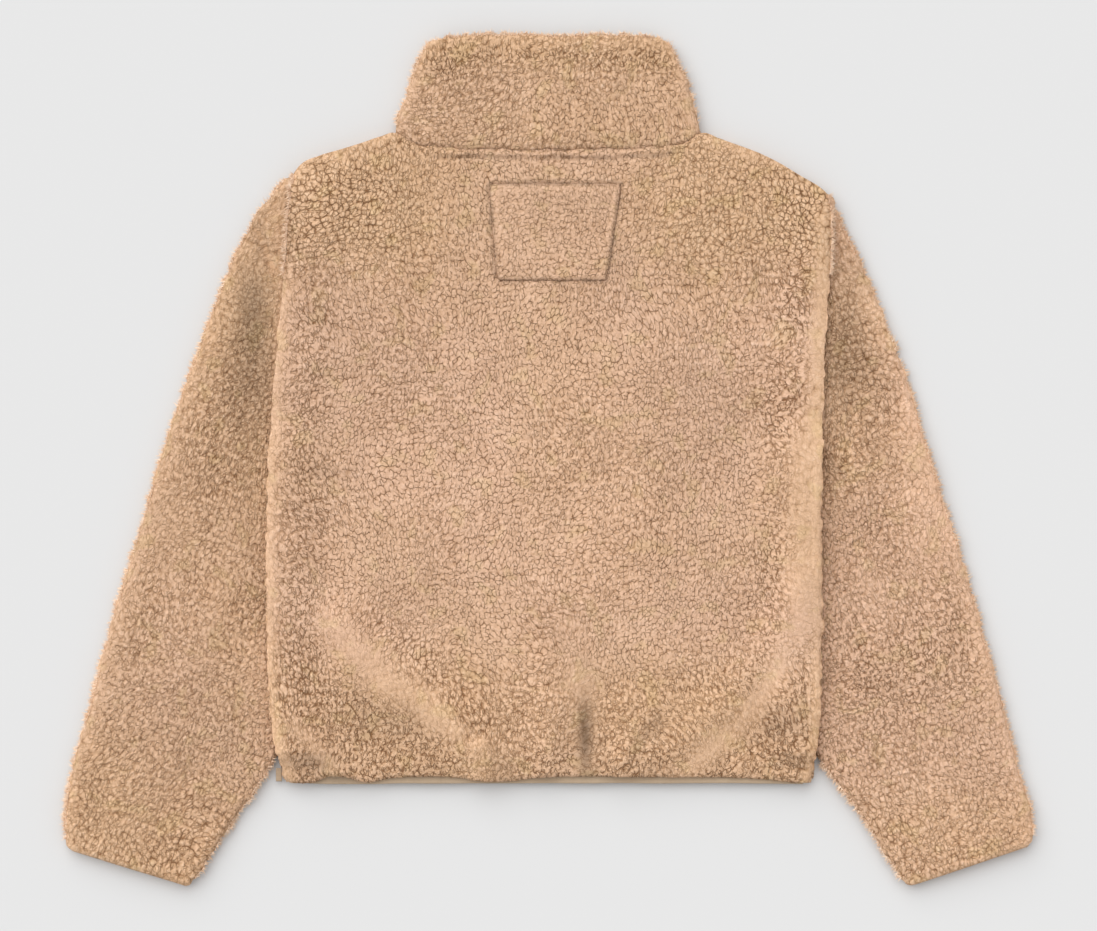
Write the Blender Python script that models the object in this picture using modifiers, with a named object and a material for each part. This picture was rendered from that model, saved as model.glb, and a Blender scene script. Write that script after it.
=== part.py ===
"""A high-collared sherpa jacket laid flat on its front, its back upwards.

The cloth lies in the XY plane with +Y towards the collar, +X towards the wearer's right sleeve and
+Z up. The origin is the middle of the jacket's outline, on the surface it lies on. Every number in
the tables is in millimetres and MM turns it into metres.
"""

import math
from collections import namedtuple

import bmesh
import bpy
import numpy as np
from mathutils import Vector

MM = 0.001

# --- driving sizes, in millimetres -------------------------------------------------------------

CLOTH = 5.0  # backing and pile together
TAPE = 1.0  # binding and zip tape
SEAM_GAP = 0.4  # between two pieces sewn edge to edge
LAYER_GAP = 0.3  # between two pieces lying on each other
ROLL_REACH = 6.3  # how far in from a rolled side the cloth starts to turn
BACK_ROLL, FRONT_ROLL = 7.0, 7.2  # the same along the shoulders

BACK_TOP = 13.8  # height of the back panel's face where both layers lie flat
HEM_TROUGH = -2.5  # the deepest fold above the hem binding
HEM_TROUGH_START = 14.0  # height over which folds deepen again above the binding
SHOULDER_SEAM_HEIGHT = 7.2  # where back and front meet along the rolled shoulder
SLEEVE_HEIGHT = 10.7  # both layers of a sleeve
CUFF_HEIGHT = 13.8  # both layers of a sleeve and the binding between them
TUCK_LIFT = 12.1  # how high the body's sides are carried by the sleeves tucked under them
COLLAR_TOP = 13.9  # height of the collar's back layer
FRONT_OPENING = 6.0  # from the centre line to a front's edge

# --- outline tables, in millimetres --------------------------------------------------------------

Side = namedtuple("Side", "y left right")
BODY_SIDES = (
    Side(-277.8, -225.3, 226.2),
    Side(-240.8, -234.8, 231.3),
    Side(-154.8, -240.8, 234.8),
    Side(-34.4, -240.8, 234.8),
    Side(51.6, -236.5, 236.5),
    Side(120.4, -230.5, 239.1),
    Side(189.2, -224.5, 243.4),
    Side(226.2, -221.9, 242.5),
    Side(244.2, -220.2, 242.5),
)

Edge = namedtuple("Edge", "x y")
BACK_TOP_LINE = (
    Edge(-220.2, 244.2),
    Edge(-213.3, 252.8),
    Edge(-196.1, 261.4),
    Edge(-178.9, 266.6),
    Edge(-161.7, 271.8),
    Edge(-144.5, 277.8),
    Edge(-131.6, 281.2),
    Edge(-118.7, 274.6),
    Edge(-105.8, 271.0),
    Edge(-84.3, 268.4),
    Edge(-45.0, 267.2),
    Edge(45.0, 267.2),
    Edge(84.3, 268.4),
    Edge(104.9, 271.0),
    Edge(118.7, 274.6),
    Edge(130.7, 281.2),
    Edge(147.9, 276.1),
    Edge(165.1, 270.0),
    Edge(182.3, 263.2),
    Edge(199.5, 254.6),
    Edge(216.7, 244.2),
    Edge(233.9, 233.9),
    Edge(242.5, 226.2),
)
NECK_LEFT, NECK_RIGHT = -131.6, 130.7  # where the shoulders end and the collar starts
FRONT_NECK = (  # distance from the centre line, height of the neckline
    Edge(0.0, 245.0),
    Edge(45.0, 247.0),
    Edge(85.0, 254.5),
    Edge(112.0, 266.0),
    Edge(131.6, 281.2),
)
BACK_HEM = (  # the pile's lower edge, lifted in waves by the gathered binding
    Edge(-225.3, -276.9),
    Edge(-192.0, -276.1),
    Edge(-183.2, -272.2),
    Edge(-166.0, -272.6),
    Edge(-151.4, -276.9),
    Edge(-127.3, -273.5),
    Edge(-92.9, -272.0),
    Edge(-62.8, -274.3),
    Edge(-49.9, -277.4),
    Edge(-15.5, -276.9),
    Edge(-2.6, -273.5),
    Edge(44.7, -272.0),
    Edge(113.5, -272.6),
    Edge(182.3, -273.5),
    Edge(216.7, -276.1),
    Edge(226.2, -277.4),
)
FRONT_HEM = -274.0
BINDING_HEM = -278.2  # the hem binding's lower edge
BINDING_DEPTH = 11.0
BINDING_INSET = 1.8  # between a binding's fold and the inside of the cloth's

# How the body's sides stand below the underarm: the height of the back's rim, and how far the
# sleeves tucked under them carry the fronts' edges (0 to 1).
Rim = namedtuple("Rim", "y height lift")
BODY_RIMS = (
    Rim(-277.8, 13.8, 0.00),
    Rim(-264.0, 15.2, 0.00),
    Rim(-250.0, 25.8, 1.00),
    Rim(-232.0, 24.8, 1.00),
    Rim(-20.0, 24.8, 1.00),
    Rim(8.0, 24.4, 1.00),
    Rim(36.0, 18.4, 0.00),
)
# The armhole, downwards from the shoulder's tip: how deep under the back's rim the sleeve's end
# lies, and the height of the rim.
Armhole = namedtuple("Armhole", "below tuck height")
ARMHOLE = (
    Armhole(0.0, -2.4, 14.0),
    Armhole(8.0, -2.2, 15.8),
    Armhole(22.0, -0.8, 17.4),
    Armhole(40.0, 6.0, 18.4),
    Armhole(80.0, 10.0, 18.4),
    Armhole(185.0, 10.0, 18.4),
    Armhole(215.0, 10.0, 30.0),
)
UNDERARM = -17.2  # below it the body is closed by its side seams
BACK_RIM, BACK_SLOPE = 12.0, 30.0  # level stretch in from the back's side, then the slope's width
FRONT_RIM, FRONT_SLOPE = 9.0, 33.0  # the same on the fronts
ROW_HEIGHTS = (-264.0, -250.0, -232.0, -206.0, -176.0, -140.0, -100.0, -58.0, -20.0, 8.0, 36.0, 90.0,
               150.0, 190.0)  # the body's rows above the hem
UPPER_ROWS = 2  # rows between the last of them and the rolled shoulder
SLOPE_COLUMNS = (12.0, 19.0, 28.0, 42.0)  # columns in from a side, where the cloth climbs its rim
ARMHOLE_CURL = 2.0  # how far the back's rim dips where it overhangs the sleeve
FRONT_CURL = 0.8  # how far the fronts' rims rise along the armhole
CURL_FADE, TIP_FADE = 20.0, 12.0  # heights over which a rim changes at the underarm and at the tip
SEAM_OVERRUN = 4.0  # how far the side seam's shape runs past both
ARMHOLE_START = 6.0  # height over which a front's edge steps in to the armhole
NECK_FADE = 44.0  # width over which a shoulder flattens into the neckline
TIP_FLAT, TIP_WIDTH = 6.3, 20.0  # level stretch in from a shoulder's tip, then where its roll grows
SIDE_SEAM_GAP = 1.8  # along the rolled sides
SHOULDER_GAP = 2.8  # along the rolled shoulders
ARMHOLE_GAP = 2.0  # between a front and the sleeve's end

# The rolled edge's profile: share of the reach inwards, share of the drop. Its last step is upright.
Roll = namedtuple("Roll", "inwards drop")
ROLL_STEPS = (Roll(0.0, 1.0), Roll(0.0, 0.84), Roll(0.13, 0.50), Roll(0.50, 0.134), Roll(1.0, 0.0))
CUT_STEPS = (0.0, 0.2, 0.45, 0.7, 1.0)  # the same rows where an edge is cut flat, along the neck
SIDE_STEPS = len(ROLL_STEPS) + len(SLOPE_COLUMNS) - 1

# Folds of the back: a ridge or trough along a bent line, with its height and half width.
Fold = namedtuple("Fold", "start bend end height reach")
BACK_FOLDS = (
    Fold((-212.0, -112.0), (-140.0, -185.0), (-62.0, -238.0), 6.5, 20.0),
    Fold((-66.0, -232.0), (-52.0, -255.0), (-48.0, -284.0), 5.0, 13.0),
    Fold((-190.0, -200.0), (-136.0, -236.0), (-80.0, -256.0), -2.2, 20.0),
    Fold((-232.0, -205.0), (-196.0, -245.0), (-168.0, -280.0), 4.0, 13.0),
    Fold((226.0, -70.0), (208.0, -185.0), (96.0, -254.0), 6.0, 19.0),
    Fold((216.0, -240.0), (185.0, -246.0), (150.0, -262.0), -2.0, 15.0),
    Fold((36.0, -175.0), (34.0, -225.0), (30.0, -276.0), -2.0, 9.0),
    Fold((4.0, -196.0), (10.0, -240.0), (4.0, -284.0), 3.2, 14.0),
    Fold((64.0, -196.0), (58.0, -240.0), (66.0, -284.0), 3.0, 14.0),
    Fold((-206.0, -8.0), (-184.0, -14.0), (-160.0, -18.0), -1.2, 7.0),
)
FOLD_SAMPLES = 10
FOLD_RISE, FOLD_FALL = 4.0, 6.0  # how fast a fold grows at its start and fades at its end
FOLD_REMAINS = 0.35

# The sleeves: rows of the outer and inner fold from the cuff to the armhole, and how far each row
# already bends to the armhole's line.
SleeveRow = namedtuple("SleeveRow", "outer_x outer_y inner_x inner_y bend")
LEFT_SLEEVE = (
    SleeveRow(-413.2, -331.1, -307.0, -363.8, 0.00),
    SleeveRow(-415.8, -305.3, -288.1, -337.1, 0.00),
    SleeveRow(-411.1, -273.5, -262.3, -299.3, 0.00),
    SleeveRow(-400.8, -234.8, -237.4, -262.3, 0.00),
    SleeveRow(-387.9, -184.9, -223.6, -226.0, 0.00),
    SleeveRow(-370.7, -122.1, -224.0, -193.0, 0.00),
    SleeveRow(-350.9, -57.6, -225.0, -163.0, 0.00),
    SleeveRow(-331.1, 8.6, -226.2, -134.0, 0.00),
    SleeveRow(-307.9, 76.5, -227.6, -107.0, 0.03),
    SleeveRow(-283.8, 143.6, -228.6, -82.0, 0.15),
    SleeveRow(-261.4, 193.5, -229.6, -59.0, 0.40),
    SleeveRow(-240.8, 224.5, -229.8, -37.0, 0.70),
    SleeveRow(-224.4, 242.4, -230.0, UNDERARM - 8.0, 0.95),
    SleeveRow(-220.9, 243.6, -230.0, UNDERARM, 1.00),
)
RIGHT_SLEEVE = (
    SleeveRow(415.4, -327.7, 308.7, -363.8, 0.00),
    SleeveRow(415.8, -302.7, 289.0, -337.1, 0.00),
    SleeveRow(406.8, -271.8, 264.0, -299.3, 0.00),
    SleeveRow(397.3, -234.8, 236.6, -263.0, 0.00),
    SleeveRow(384.4, -184.9, 219.0, -226.0, 0.00),
    SleeveRow(367.2, -122.1, 221.0, -193.0, 0.00),
    SleeveRow(347.4, -57.6, 221.6, -163.0, 0.00),
    SleeveRow(326.8, 8.6, 221.9, -134.0, 0.00),
    SleeveRow(306.2, 76.5, 222.7, -107.0, 0.03),
    SleeveRow(281.2, 143.6, 223.6, -82.0, 0.15),
    SleeveRow(262.3, 186.6, 224.5, -59.0, 0.40),
    SleeveRow(252.0, 208.5, 224.7, -37.0, 0.70),
    SleeveRow(246.7, 224.4, 224.9, UNDERARM - 8.0, 0.95),
    SleeveRow(243.2, 225.6, 224.9, UNDERARM, 1.00),
)
CUFF_ROWS = 3  # rows over which the cuff's extra height fades
ALONG_ARMHOLE, TURN = 0.9, 3  # the bend from which a row lies along the armhole, and how late it turns
SLEEVE_STEPS = (0.0, 0.065, 0.13, 0.3, 0.5, 0.72, 1.0)  # across one layer, from the outer fold
FOLD_STEPS = 4  # steps round a folded edge
RING_STEPS = 2 * (len(SLEEVE_STEPS) - 1 + FOLD_STEPS)
CUFF_BINDING_INSIDE, CUFF_BINDING_SHOWN = 8.0, 4.3

# The collar's folded sides, from its seam to its top edge.
CollarRow = namedtuple("CollarRow", "rise left right")
COLLAR_ROWS = (
    CollarRow(0.00, -131.6, 130.7),
    CollarRow(0.16, -129.9, 129.0),
    CollarRow(0.36, -123.8, 124.7),
    CollarRow(0.56, -118.7, 120.4),
    CollarRow(0.76, -112.7, 112.7),
    CollarRow(0.88, -108.4, 108.4),
    CollarRow(0.96, -103.2, 104.0),
    CollarRow(1.00, -95.5, 98.0),
)
COLLAR_EDGE = 365.9
COLLAR_FRONT_EDGE = 358.0
COLLAR_FRONT_STEPS, COLLAR_BACK_STEPS = 4, 16
COLLAR_FADE = 100.0  # how far from the centre line its seam widens to the neckline's full width
COLLAR_GAP = Edge(1.3, 0.8)  # between the collar's curved seam and the fronts', and the back's

PATCH_TOP, PATCH_BOTTOM = Edge(6.4, 237.4), Edge(3.4, 153.9)  # the middle of each edge
PATCH_TOP_HALF, PATCH_BOTTOM_HALF = 57.2, 47.3
PATCH_WALL = 1.5
PATCH_STEPS = 6

LABEL_LOW, LABEL_HIGH, LABEL_OUT = -276.5, -265.0, 5.5
LABEL_WALL = 1.2

ZIP_LOW, ZIP_HIGH = -277.0, 352.0
CHAIN_END = 7.0  # from the tapes' ends down to the last tooth
ZIP_TAPE_IN, ZIP_TAPE_OUT = 3.2, 17.0
CHAIN_HALF, CHAIN_HEIGHT = 2.9, 2.4
SLIDER_HALF, SLIDER_LENGTH, SLIDER_PLATE = 4.6, 11.0, 1.1
SLIDER_FACE = 3.0  # height of the slider's outer plate, which faces the surface
SLIDER_PAST = 4.0  # how far the closed slider stands past the last tooth
SLIDER_POST_HALF = 1.2
LUG_HALF, LUG_INSET = 1.5, 0.2
PIVOT_FROM_END, PIVOT_HEIGHT, PIVOT_RADIUS = 3.0, 1.7, 0.6
PULL_HALF, PULL_LENGTH, PULL_THICK = 2.8, 24.0, 0.9
JOINED = 0.2  # how far joined blocks reach into each other

BACK_ACROSS, FRONT_ACROSS = 18, {-1: 8, 1: 9}  # steps between the sloping sides

COLOURS = {  # linear red, green, blue
    "pile": (0.66, 0.42, 0.24),
    "binding": (0.52, 0.40, 0.27),
    "zip_tape": (0.48, 0.36, 0.24),
    "zip_chain": (0.42, 0.31, 0.20),
    "metal": (0.45, 0.42, 0.38),
}
METALLIC = {"metal": 1.0}
ROUGHNESS = {"pile": 0.95, "binding": 0.8, "zip_tape": 0.8, "zip_chain": 0.45, "metal": 0.35}


# --- small tools ---------------------------------------------------------------------------------


def column(rows, name):
    """One named column of a table."""
    return [getattr(row, name) for row in rows]


def read(rows, key, name, at):
    """The value of a table's column at a place between its rows."""
    return float(np.interp(at, column(rows, key), column(rows, name)))


def smooth(share):
    """A soft step from 0 to 1."""
    share = min(max(share, 0.0), 1.0)
    return share * share * (3.0 - 2.0 * share)


def mix(low, high, share):
    """The value a share of the way from low to high."""
    return low + (high - low) * share


def new_collection(name):
    """A collection linked to the scene."""
    made = bpy.data.collections.new(name)
    bpy.context.scene.collection.children.link(made)
    return made


def material_of(slot):
    """The Principled material of a slot, made once."""
    if slot in bpy.data.materials:
        return bpy.data.materials[slot]
    made = bpy.data.materials.new(slot)
    made.use_nodes = True
    shader = made.node_tree.nodes["Principled BSDF"]
    shader.inputs["Base Color"].default_value = (*COLOURS[slot], 1.0)
    shader.inputs["Roughness"].default_value = ROUGHNESS[slot]
    shader.inputs["Metallic"].default_value = METALLIC.get(slot, 0.0)
    return made


def finished(piece, name, slot, collection):
    """Name a piece, give it its material and put it in the jacket's collection."""
    piece.name = name
    piece.data.name = name
    piece.data.materials.clear()
    piece.data.materials.append(material_of(slot))
    for holder in list(piece.users_collection):
        holder.objects.unlink(piece)
    collection.objects.link(piece)
    return piece


def cloth_piece(name, slot, collection, across, along, place, wall):
    """A cloth wall: a flat grid carried to place(i, j) in millimetres and thickened inwards."""
    bpy.ops.mesh.primitive_grid_add(x_subdivisions=across, y_subdivisions=along, size=2.0)
    piece = bpy.context.active_object
    for vertex in piece.data.vertices:
        i = round((vertex.co.x + 1.0) / 2.0 * across)
        j = round((vertex.co.y + 1.0) / 2.0 * along)
        vertex.co = Vector(place(i, j)) * MM
    mesh = bmesh.new()
    mesh.from_mesh(piece.data)
    bmesh.ops.remove_doubles(mesh, verts=mesh.verts, dist=0.00001)
    mesh.to_mesh(piece.data)
    mesh.free()
    thickness = piece.modifiers.new("Wall", "SOLIDIFY")
    thickness.thickness = wall * MM
    thickness.offset = -1.0
    return finished(piece, name, slot, collection)


def box(name, slot, collection, low, high):
    """A block between two corners in millimetres."""
    bpy.ops.mesh.primitive_cube_add(size=1.0)
    piece = bpy.context.active_object
    for vertex in piece.data.vertices:
        share = vertex.co + Vector((0.5, 0.5, 0.5))
        vertex.co = Vector([mix(a, b, s) * MM for a, b, s in zip(low, high, share)])
    return finished(piece, name, slot, collection)


def join_solids(pieces):
    """Union solids into the first one and remove the rest."""
    first = pieces[0]
    for other in pieces[1:]:
        union = first.modifiers.new("Join", "BOOLEAN")
        union.operation = "UNION"
        union.object = other
        bpy.context.view_layer.objects.active = first
        bpy.ops.object.modifier_apply(modifier=union.name)
        bpy.data.objects.remove(other, do_unlink=True)
    return first


# --- the body ------------------------------------------------------------------------------------


def body_edge(y, side):
    """The body's outline at a height y, on the left (-1) or right (+1)."""
    return read(BODY_SIDES, "y", "left" if side < 0 else "right", y)


def below_tip(y, side):
    """How far a height lies below the tip of a shoulder."""
    return (BACK_TOP_LINE[0].y if side < 0 else BACK_TOP_LINE[-1].y) - y


def rim_height(y, side):
    """The height of the back's rim: the lower of what the side seam and the armhole ask."""
    return min(read(BODY_RIMS, "y", "height", y),
               read(ARMHOLE, "below", "height", below_tip(y, side)))


def tuck(y, side):
    """How deep under the back's rim the armhole's seam lies."""
    return read(ARMHOLE, "below", "tuck", below_tip(y, side))


def lift(y):
    """How high the tucked sleeves carry the fronts' sides."""
    return TUCK_LIFT * read(BODY_RIMS, "y", "lift", y)


def fold_height(x, y):
    """The height that the back's folds add at a point."""
    total = 0.0
    for fold in BACK_FOLDS:
        best, share_there = 1e9, 0.0
        for step in range(FOLD_SAMPLES + 1):
            share = step / FOLD_SAMPLES
            near = [
                (1 - share) ** 2 * a + 2 * share * (1 - share) * b + share**2 * c
                for a, b, c in zip(fold.start, fold.bend, fold.end)
            ]
            distance = math.hypot(x - near[0], y - near[1])
            if distance < best:
                best, share_there = distance, share
        fade = smooth(FOLD_RISE * share_there)
        fade *= smooth(FOLD_FALL * (1.0 - share_there) + FOLD_REMAINS)
        total += fold.height * fade * math.exp(-((best / fold.reach) ** 2))
    return total


def back_face(x, y):
    """The height of the back panel's outer face away from its rolled edges."""
    deepest = HEM_TROUGH * smooth((y - ROW_HEIGHTS[0]) / HEM_TROUGH_START)
    height = BACK_TOP + max(fold_height(x, y), deepest)
    for side in (-1, 1):
        inwards = abs(body_edge(y, side) - x)
        on_rim = 1.0 - smooth((inwards - BACK_RIM) / BACK_SLOPE)
        height += (rim_height(y, side) - BACK_TOP) * on_rim
    return height


def front_face(x, y):
    """The height of a front's outer face, which lies on the surface away from the tucked sleeves."""
    side = -1 if x < 0 else 1
    inwards = abs(body_edge(y, side) - x)
    return lift(y) * (1.0 - smooth((inwards - FRONT_RIM) / FRONT_SLOPE))


def side_curl(y, side, back):
    """How far a side edge turns towards the seam between back and fronts."""
    closed = (rim_height(y, side) - lift(y) - SIDE_SEAM_GAP) / 2.0
    at_armhole = ARMHOLE_CURL if back else FRONT_CURL
    above_underarm = smooth((y - UNDERARM + SEAM_OVERRUN) / CURL_FADE)
    below_shoulder = smooth((below_tip(y, side) - SEAM_OVERRUN) / TIP_FADE)
    return mix(closed, at_armhole, above_underarm * below_shoulder)


def side_distance(step):
    """How far in from a side a column lies, and its share of the rolled edge's drop."""
    if step < len(ROLL_STEPS):
        return ROLL_STEPS[step].inwards * ROLL_REACH, ROLL_STEPS[step].drop
    return SLOPE_COLUMNS[step - len(ROLL_STEPS)], 0.0


def shoulder_share(x, inwards):
    """1 along the shoulders, fading to 0 where the collar starts and at the shoulder's tip."""
    outside = max(NECK_LEFT - x, x - NECK_RIGHT)
    return smooth(outside / NECK_FADE) * smooth((inwards - TIP_FLAT) / TIP_WIDTH)


def body_row(j, hem, top, reach, on_shoulder):
    """The height on the panel of a row, and how far down the rolled shoulder it lies."""
    edge_steps = len(ROLL_STEPS) - 1
    from_top = len(ROW_HEIGHTS) + UPPER_ROWS + edge_steps - j
    if from_top < edge_steps:
        rolled = ROLL_STEPS[from_top]
        y = top - reach * mix(CUT_STEPS[from_top], rolled.inwards, on_shoulder)
        return y, rolled.drop * on_shoulder**3
    if j == 0:
        return hem, 0.0
    if j <= len(ROW_HEIGHTS):
        return ROW_HEIGHTS[j - 1], 0.0
    share = (j - len(ROW_HEIGHTS)) / UPPER_ROWS
    return mix(ROW_HEIGHTS[-1], top - reach, share), 0.0


def back_point(i, j):
    """A point of the back panel's outer face from its place in the grid."""
    last_i = BACK_ACROSS + 2 * SIDE_STEPS
    across = min(max((i - SIDE_STEPS) / BACK_ACROSS, 0.0), 1.0)
    inwards, rolled = side_distance(min(i, last_i - i, SIDE_STEPS))
    nominal = mix(BACK_TOP_LINE[0].x + inwards, BACK_TOP_LINE[-1].x - inwards, across)
    top = read(BACK_TOP_LINE, "x", "y", nominal) - SEAM_GAP / 2.0
    hem = read(BACK_HEM, "x", "y", nominal)
    y, drop = body_row(j, hem, top, BACK_ROLL, shoulder_share(nominal, inwards))
    x = mix(body_edge(y, -1) + inwards, body_edge(y, 1) - inwards, across)
    z = back_face(x, y)
    shoulder_drop = (z - SHOULDER_SEAM_HEIGHT - SHOULDER_GAP / 2.0) * drop
    curl = side_curl(y, -1 if across < 0.5 else 1, back=True) * rolled
    return x, y, z - shoulder_drop - curl


def body_rows():
    """The number of steps along the body's panels."""
    return len(ROW_HEIGHTS) + UPPER_ROWS + len(ROLL_STEPS) - 1


def make_back(collection):
    """The back panel, rolled over the shoulders and the sides."""
    return cloth_piece("back_panel", "pile", collection, BACK_ACROSS + 2 * SIDE_STEPS, body_rows(),
                       back_point, CLOTH)


def front_top(x):
    """The upper edge of a front at x: the shoulder's line, then the front neckline."""
    if NECK_LEFT < x < NECK_RIGHT:
        return read(FRONT_NECK, "x", "y", abs(x))
    return read(BACK_TOP_LINE, "x", "y", x)


def front_point(side, i, j):
    """A point of a front's outer face. Column 0 is at the side seam and the last at the zip."""
    tip = BACK_TOP_LINE[0].x if side < 0 else BACK_TOP_LINE[-1].x
    centre = side * FRONT_OPENING
    inwards, rolled = side_distance(min(i, SIDE_STEPS))
    across = max(0.0, (i - SIDE_STEPS) / FRONT_ACROSS[side])
    nominal = mix(tip - side * inwards, centre, across)
    top = front_top(nominal) - SEAM_GAP / 2.0
    y, rise = body_row(j, FRONT_HEM, top, FRONT_ROLL, shoulder_share(nominal, inwards))
    at_armhole = smooth((y - UNDERARM) / ARMHOLE_START)
    edge = body_edge(y, side) - side * max(tuck(y, side) + ARMHOLE_GAP, 0.0) * at_armhole
    x = mix(edge - side * inwards, centre, across)
    z = front_face(x, y)
    shoulder_rise = (SHOULDER_SEAM_HEIGHT - SHOULDER_GAP / 2.0 - z) * rise
    curl = side_curl(y, side, back=False) * rolled
    return x, y, z + shoulder_rise + curl


def make_front(side, name, collection):
    """One front, lying on the surface, from its side seam to the zip. Its faces look down."""
    across = FRONT_ACROSS[side] + SIDE_STEPS
    return cloth_piece(
        name, "pile", collection, across, body_rows(),
        lambda i, j: front_point(side, i if side > 0 else across - i, j), CLOTH)


# --- the sleeves ---------------------------------------------------------------------------------


def flat_ring(width, height, shares):
    """Places round a flattened tube: each one's distance from the outer fold, and its height.

    It runs inwards under the tube and back over it, and its folds are half circles.
    """
    radius = height / 2.0
    ring = [(mix(radius, width - radius, share), 0.0) for share in shares[:-1]]
    turn = [math.pi * step / FOLD_STEPS for step in range(FOLD_STEPS)]
    ring += [(width - radius + radius * math.sin(a), radius - radius * math.cos(a)) for a in turn]
    ring += [(mix(radius, width - radius, share), height) for share in shares[:0:-1]]
    ring += [(radius - radius * math.sin(a), radius + radius * math.cos(a)) for a in turn]
    return ring


def sleeve_height(row):
    """The sleeve's height in a row: the cuff holds its binding between the layers."""
    return mix(CUFF_HEIGHT, SLEEVE_HEIGHT, smooth(row / CUFF_ROWS))


def fold_inwards(rows, j, edge, along_row):
    """The level direction from a sleeve's outer or inner fold into the sleeve.

    It is square to the fold, and turns along the row where the row bends to the armhole.
    """
    before, after = rows[max(j - 1, 0)], rows[min(j + 1, len(rows) - 1)]
    across = getattr(after, edge + "_x") - getattr(before, edge + "_x")
    along = getattr(after, edge + "_y") - getattr(before, edge + "_y")
    square = Vector((along, -across)).normalized()
    if square.dot(along_row) < 0.0:
        square = -square
    turned = min(rows[j].bend / ALONG_ARMHOLE, 1.0) ** TURN
    return mix(square, along_row, turned).normalized()


def sleeve_point(side, rows, ring_index, j):
    """A point of a sleeve's outer face from its place round the tube and its row."""
    row = rows[j]
    outer = Vector((row.outer_x, row.outer_y))
    inner = Vector((row.inner_x, row.inner_y))
    width = (inner - outer).length
    across = (inner - outer) / width
    radius = sleeve_height(j) / 2.0
    ring = flat_ring(width, 2.0 * radius, SLEEVE_STEPS)
    inwards, z = ring[ring_index % len(ring)]
    start = outer + fold_inwards(rows, j, "outer", across) * radius
    end = inner + fold_inwards(rows, j, "inner", -across) * radius
    if inwards < radius:
        flat = mix(outer, start, inwards / radius)
    elif inwards > width - radius:
        flat = mix(inner, end, (width - inwards) / radius)
    else:
        flat = mix(start, end, (inwards - radius) / (width - 2.0 * radius))
    armhole_y = mix(rows[-1].outer_y, rows[-1].inner_y, inwards / width)
    on_chord = mix(rows[-1].outer_x, rows[-1].inner_x, inwards / width)
    armhole_x = body_edge(armhole_y, side) - side * tuck(armhole_y, side)
    return flat.x + row.bend * (armhole_x - on_chord), flat.y, z


def make_sleeve(side, name, rows, collection):
    """A sleeve: a flattened tube, open at the cuff and at the armhole."""
    return cloth_piece(
        name, "pile", collection, RING_STEPS, len(rows) - 1,
        lambda i, j: sleeve_point(side, rows, RING_STEPS - i if side < 0 else i, j), CLOTH)


def cuff_binding_point(rows, ring_index, j):
    """A point of a cuff's binding: a thin ring between the sleeve's layers, shown past its end."""
    first, second = rows[0], rows[1]
    outer = Vector((first.outer_x, first.outer_y))
    inner = Vector((first.inner_x, first.inner_y))
    across = (inner - outer).normalized()
    along = Vector((second.outer_x, second.outer_y)) - outer
    along = (along - across * along.dot(across)).normalized()
    inset = CLOTH + BINDING_INSET
    width = (inner - outer).length - 2.0 * inset
    height = CUFF_HEIGHT - 2.0 * (CLOTH + LAYER_GAP) - LAYER_GAP
    ring = flat_ring(width, height, SLEEVE_STEPS)
    inwards, z = ring[ring_index % len(ring)]
    shift = -CUFF_BINDING_SHOWN if j == 0 else CUFF_BINDING_INSIDE
    flat = outer + across * (inset + inwards) + along * shift
    return flat.x, flat.y, z + CLOTH + LAYER_GAP


def make_cuff_binding(side, name, rows, collection):
    """The smooth binding inside a cuff."""
    return cloth_piece(
        name, "binding", collection, RING_STEPS, 1,
        lambda i, j: cuff_binding_point(rows, RING_STEPS - i if side < 0 else i, j), TAPE)


# --- the collar ----------------------------------------------------------------------------------


def collar_side(rise, side):
    """The collar's folded side at a share of its height."""
    return read(COLLAR_ROWS, "rise", "left" if side < 0 else "right", rise)


def collar_point(i, j):
    """A point of the collar's outer face, from one front edge round the back to the other."""
    rise = COLLAR_ROWS[j].rise
    left, right = collar_side(rise, -1), collar_side(rise, 1)
    radius = COLLAR_TOP / 2.0
    fold_end = COLLAR_FRONT_STEPS + FOLD_STEPS
    back_end = fold_end + COLLAR_BACK_STEPS
    last = 2 * fold_end + COLLAR_BACK_STEPS
    if i <= COLLAR_FRONT_STEPS:
        x, z = mix(-FRONT_OPENING, left + radius, i / COLLAR_FRONT_STEPS), 0.0
    elif i < fold_end:
        angle = math.pi * (i - COLLAR_FRONT_STEPS) / FOLD_STEPS
        x, z = left + radius - radius * math.sin(angle), radius - radius * math.cos(angle)
    elif i <= back_end:
        x, z = mix(left + radius, right - radius, (i - fold_end) / COLLAR_BACK_STEPS), COLLAR_TOP
    elif i < last - COLLAR_FRONT_STEPS:
        angle = math.pi * (i - back_end) / FOLD_STEPS
        x, z = right - radius + radius * math.sin(angle), radius + radius * math.cos(angle)
    else:
        share = (i - (last - COLLAR_FRONT_STEPS)) / COLLAR_FRONT_STEPS
        x, z = mix(right - radius, FRONT_OPENING, share), 0.0
    at_seam = x + (mix(0.0, (NECK_LEFT - left) if x < 0 else (NECK_RIGHT - right),
                       smooth(abs(x) / COLLAR_FADE)))
    back_share = smooth(z / COLLAR_TOP)
    front_seam = read(FRONT_NECK, "x", "y", abs(at_seam))
    back_seam = read(BACK_TOP_LINE, "x", "y", at_seam)
    seam = mix(front_seam + COLLAR_GAP.x, back_seam + COLLAR_GAP.y, back_share)
    top = mix(COLLAR_FRONT_EDGE, COLLAR_EDGE, back_share)
    return x, mix(seam, top, rise), z


def make_collar(collection):
    """The standing collar, folded flat: a band open at the zip."""
    steps = 2 * (COLLAR_FRONT_STEPS + FOLD_STEPS) + COLLAR_BACK_STEPS
    return cloth_piece("collar", "pile", collection, steps, len(COLLAR_ROWS) - 1,
                       collar_point, CLOTH)


# --- what is sewn on the body --------------------------------------------------------------------


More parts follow.
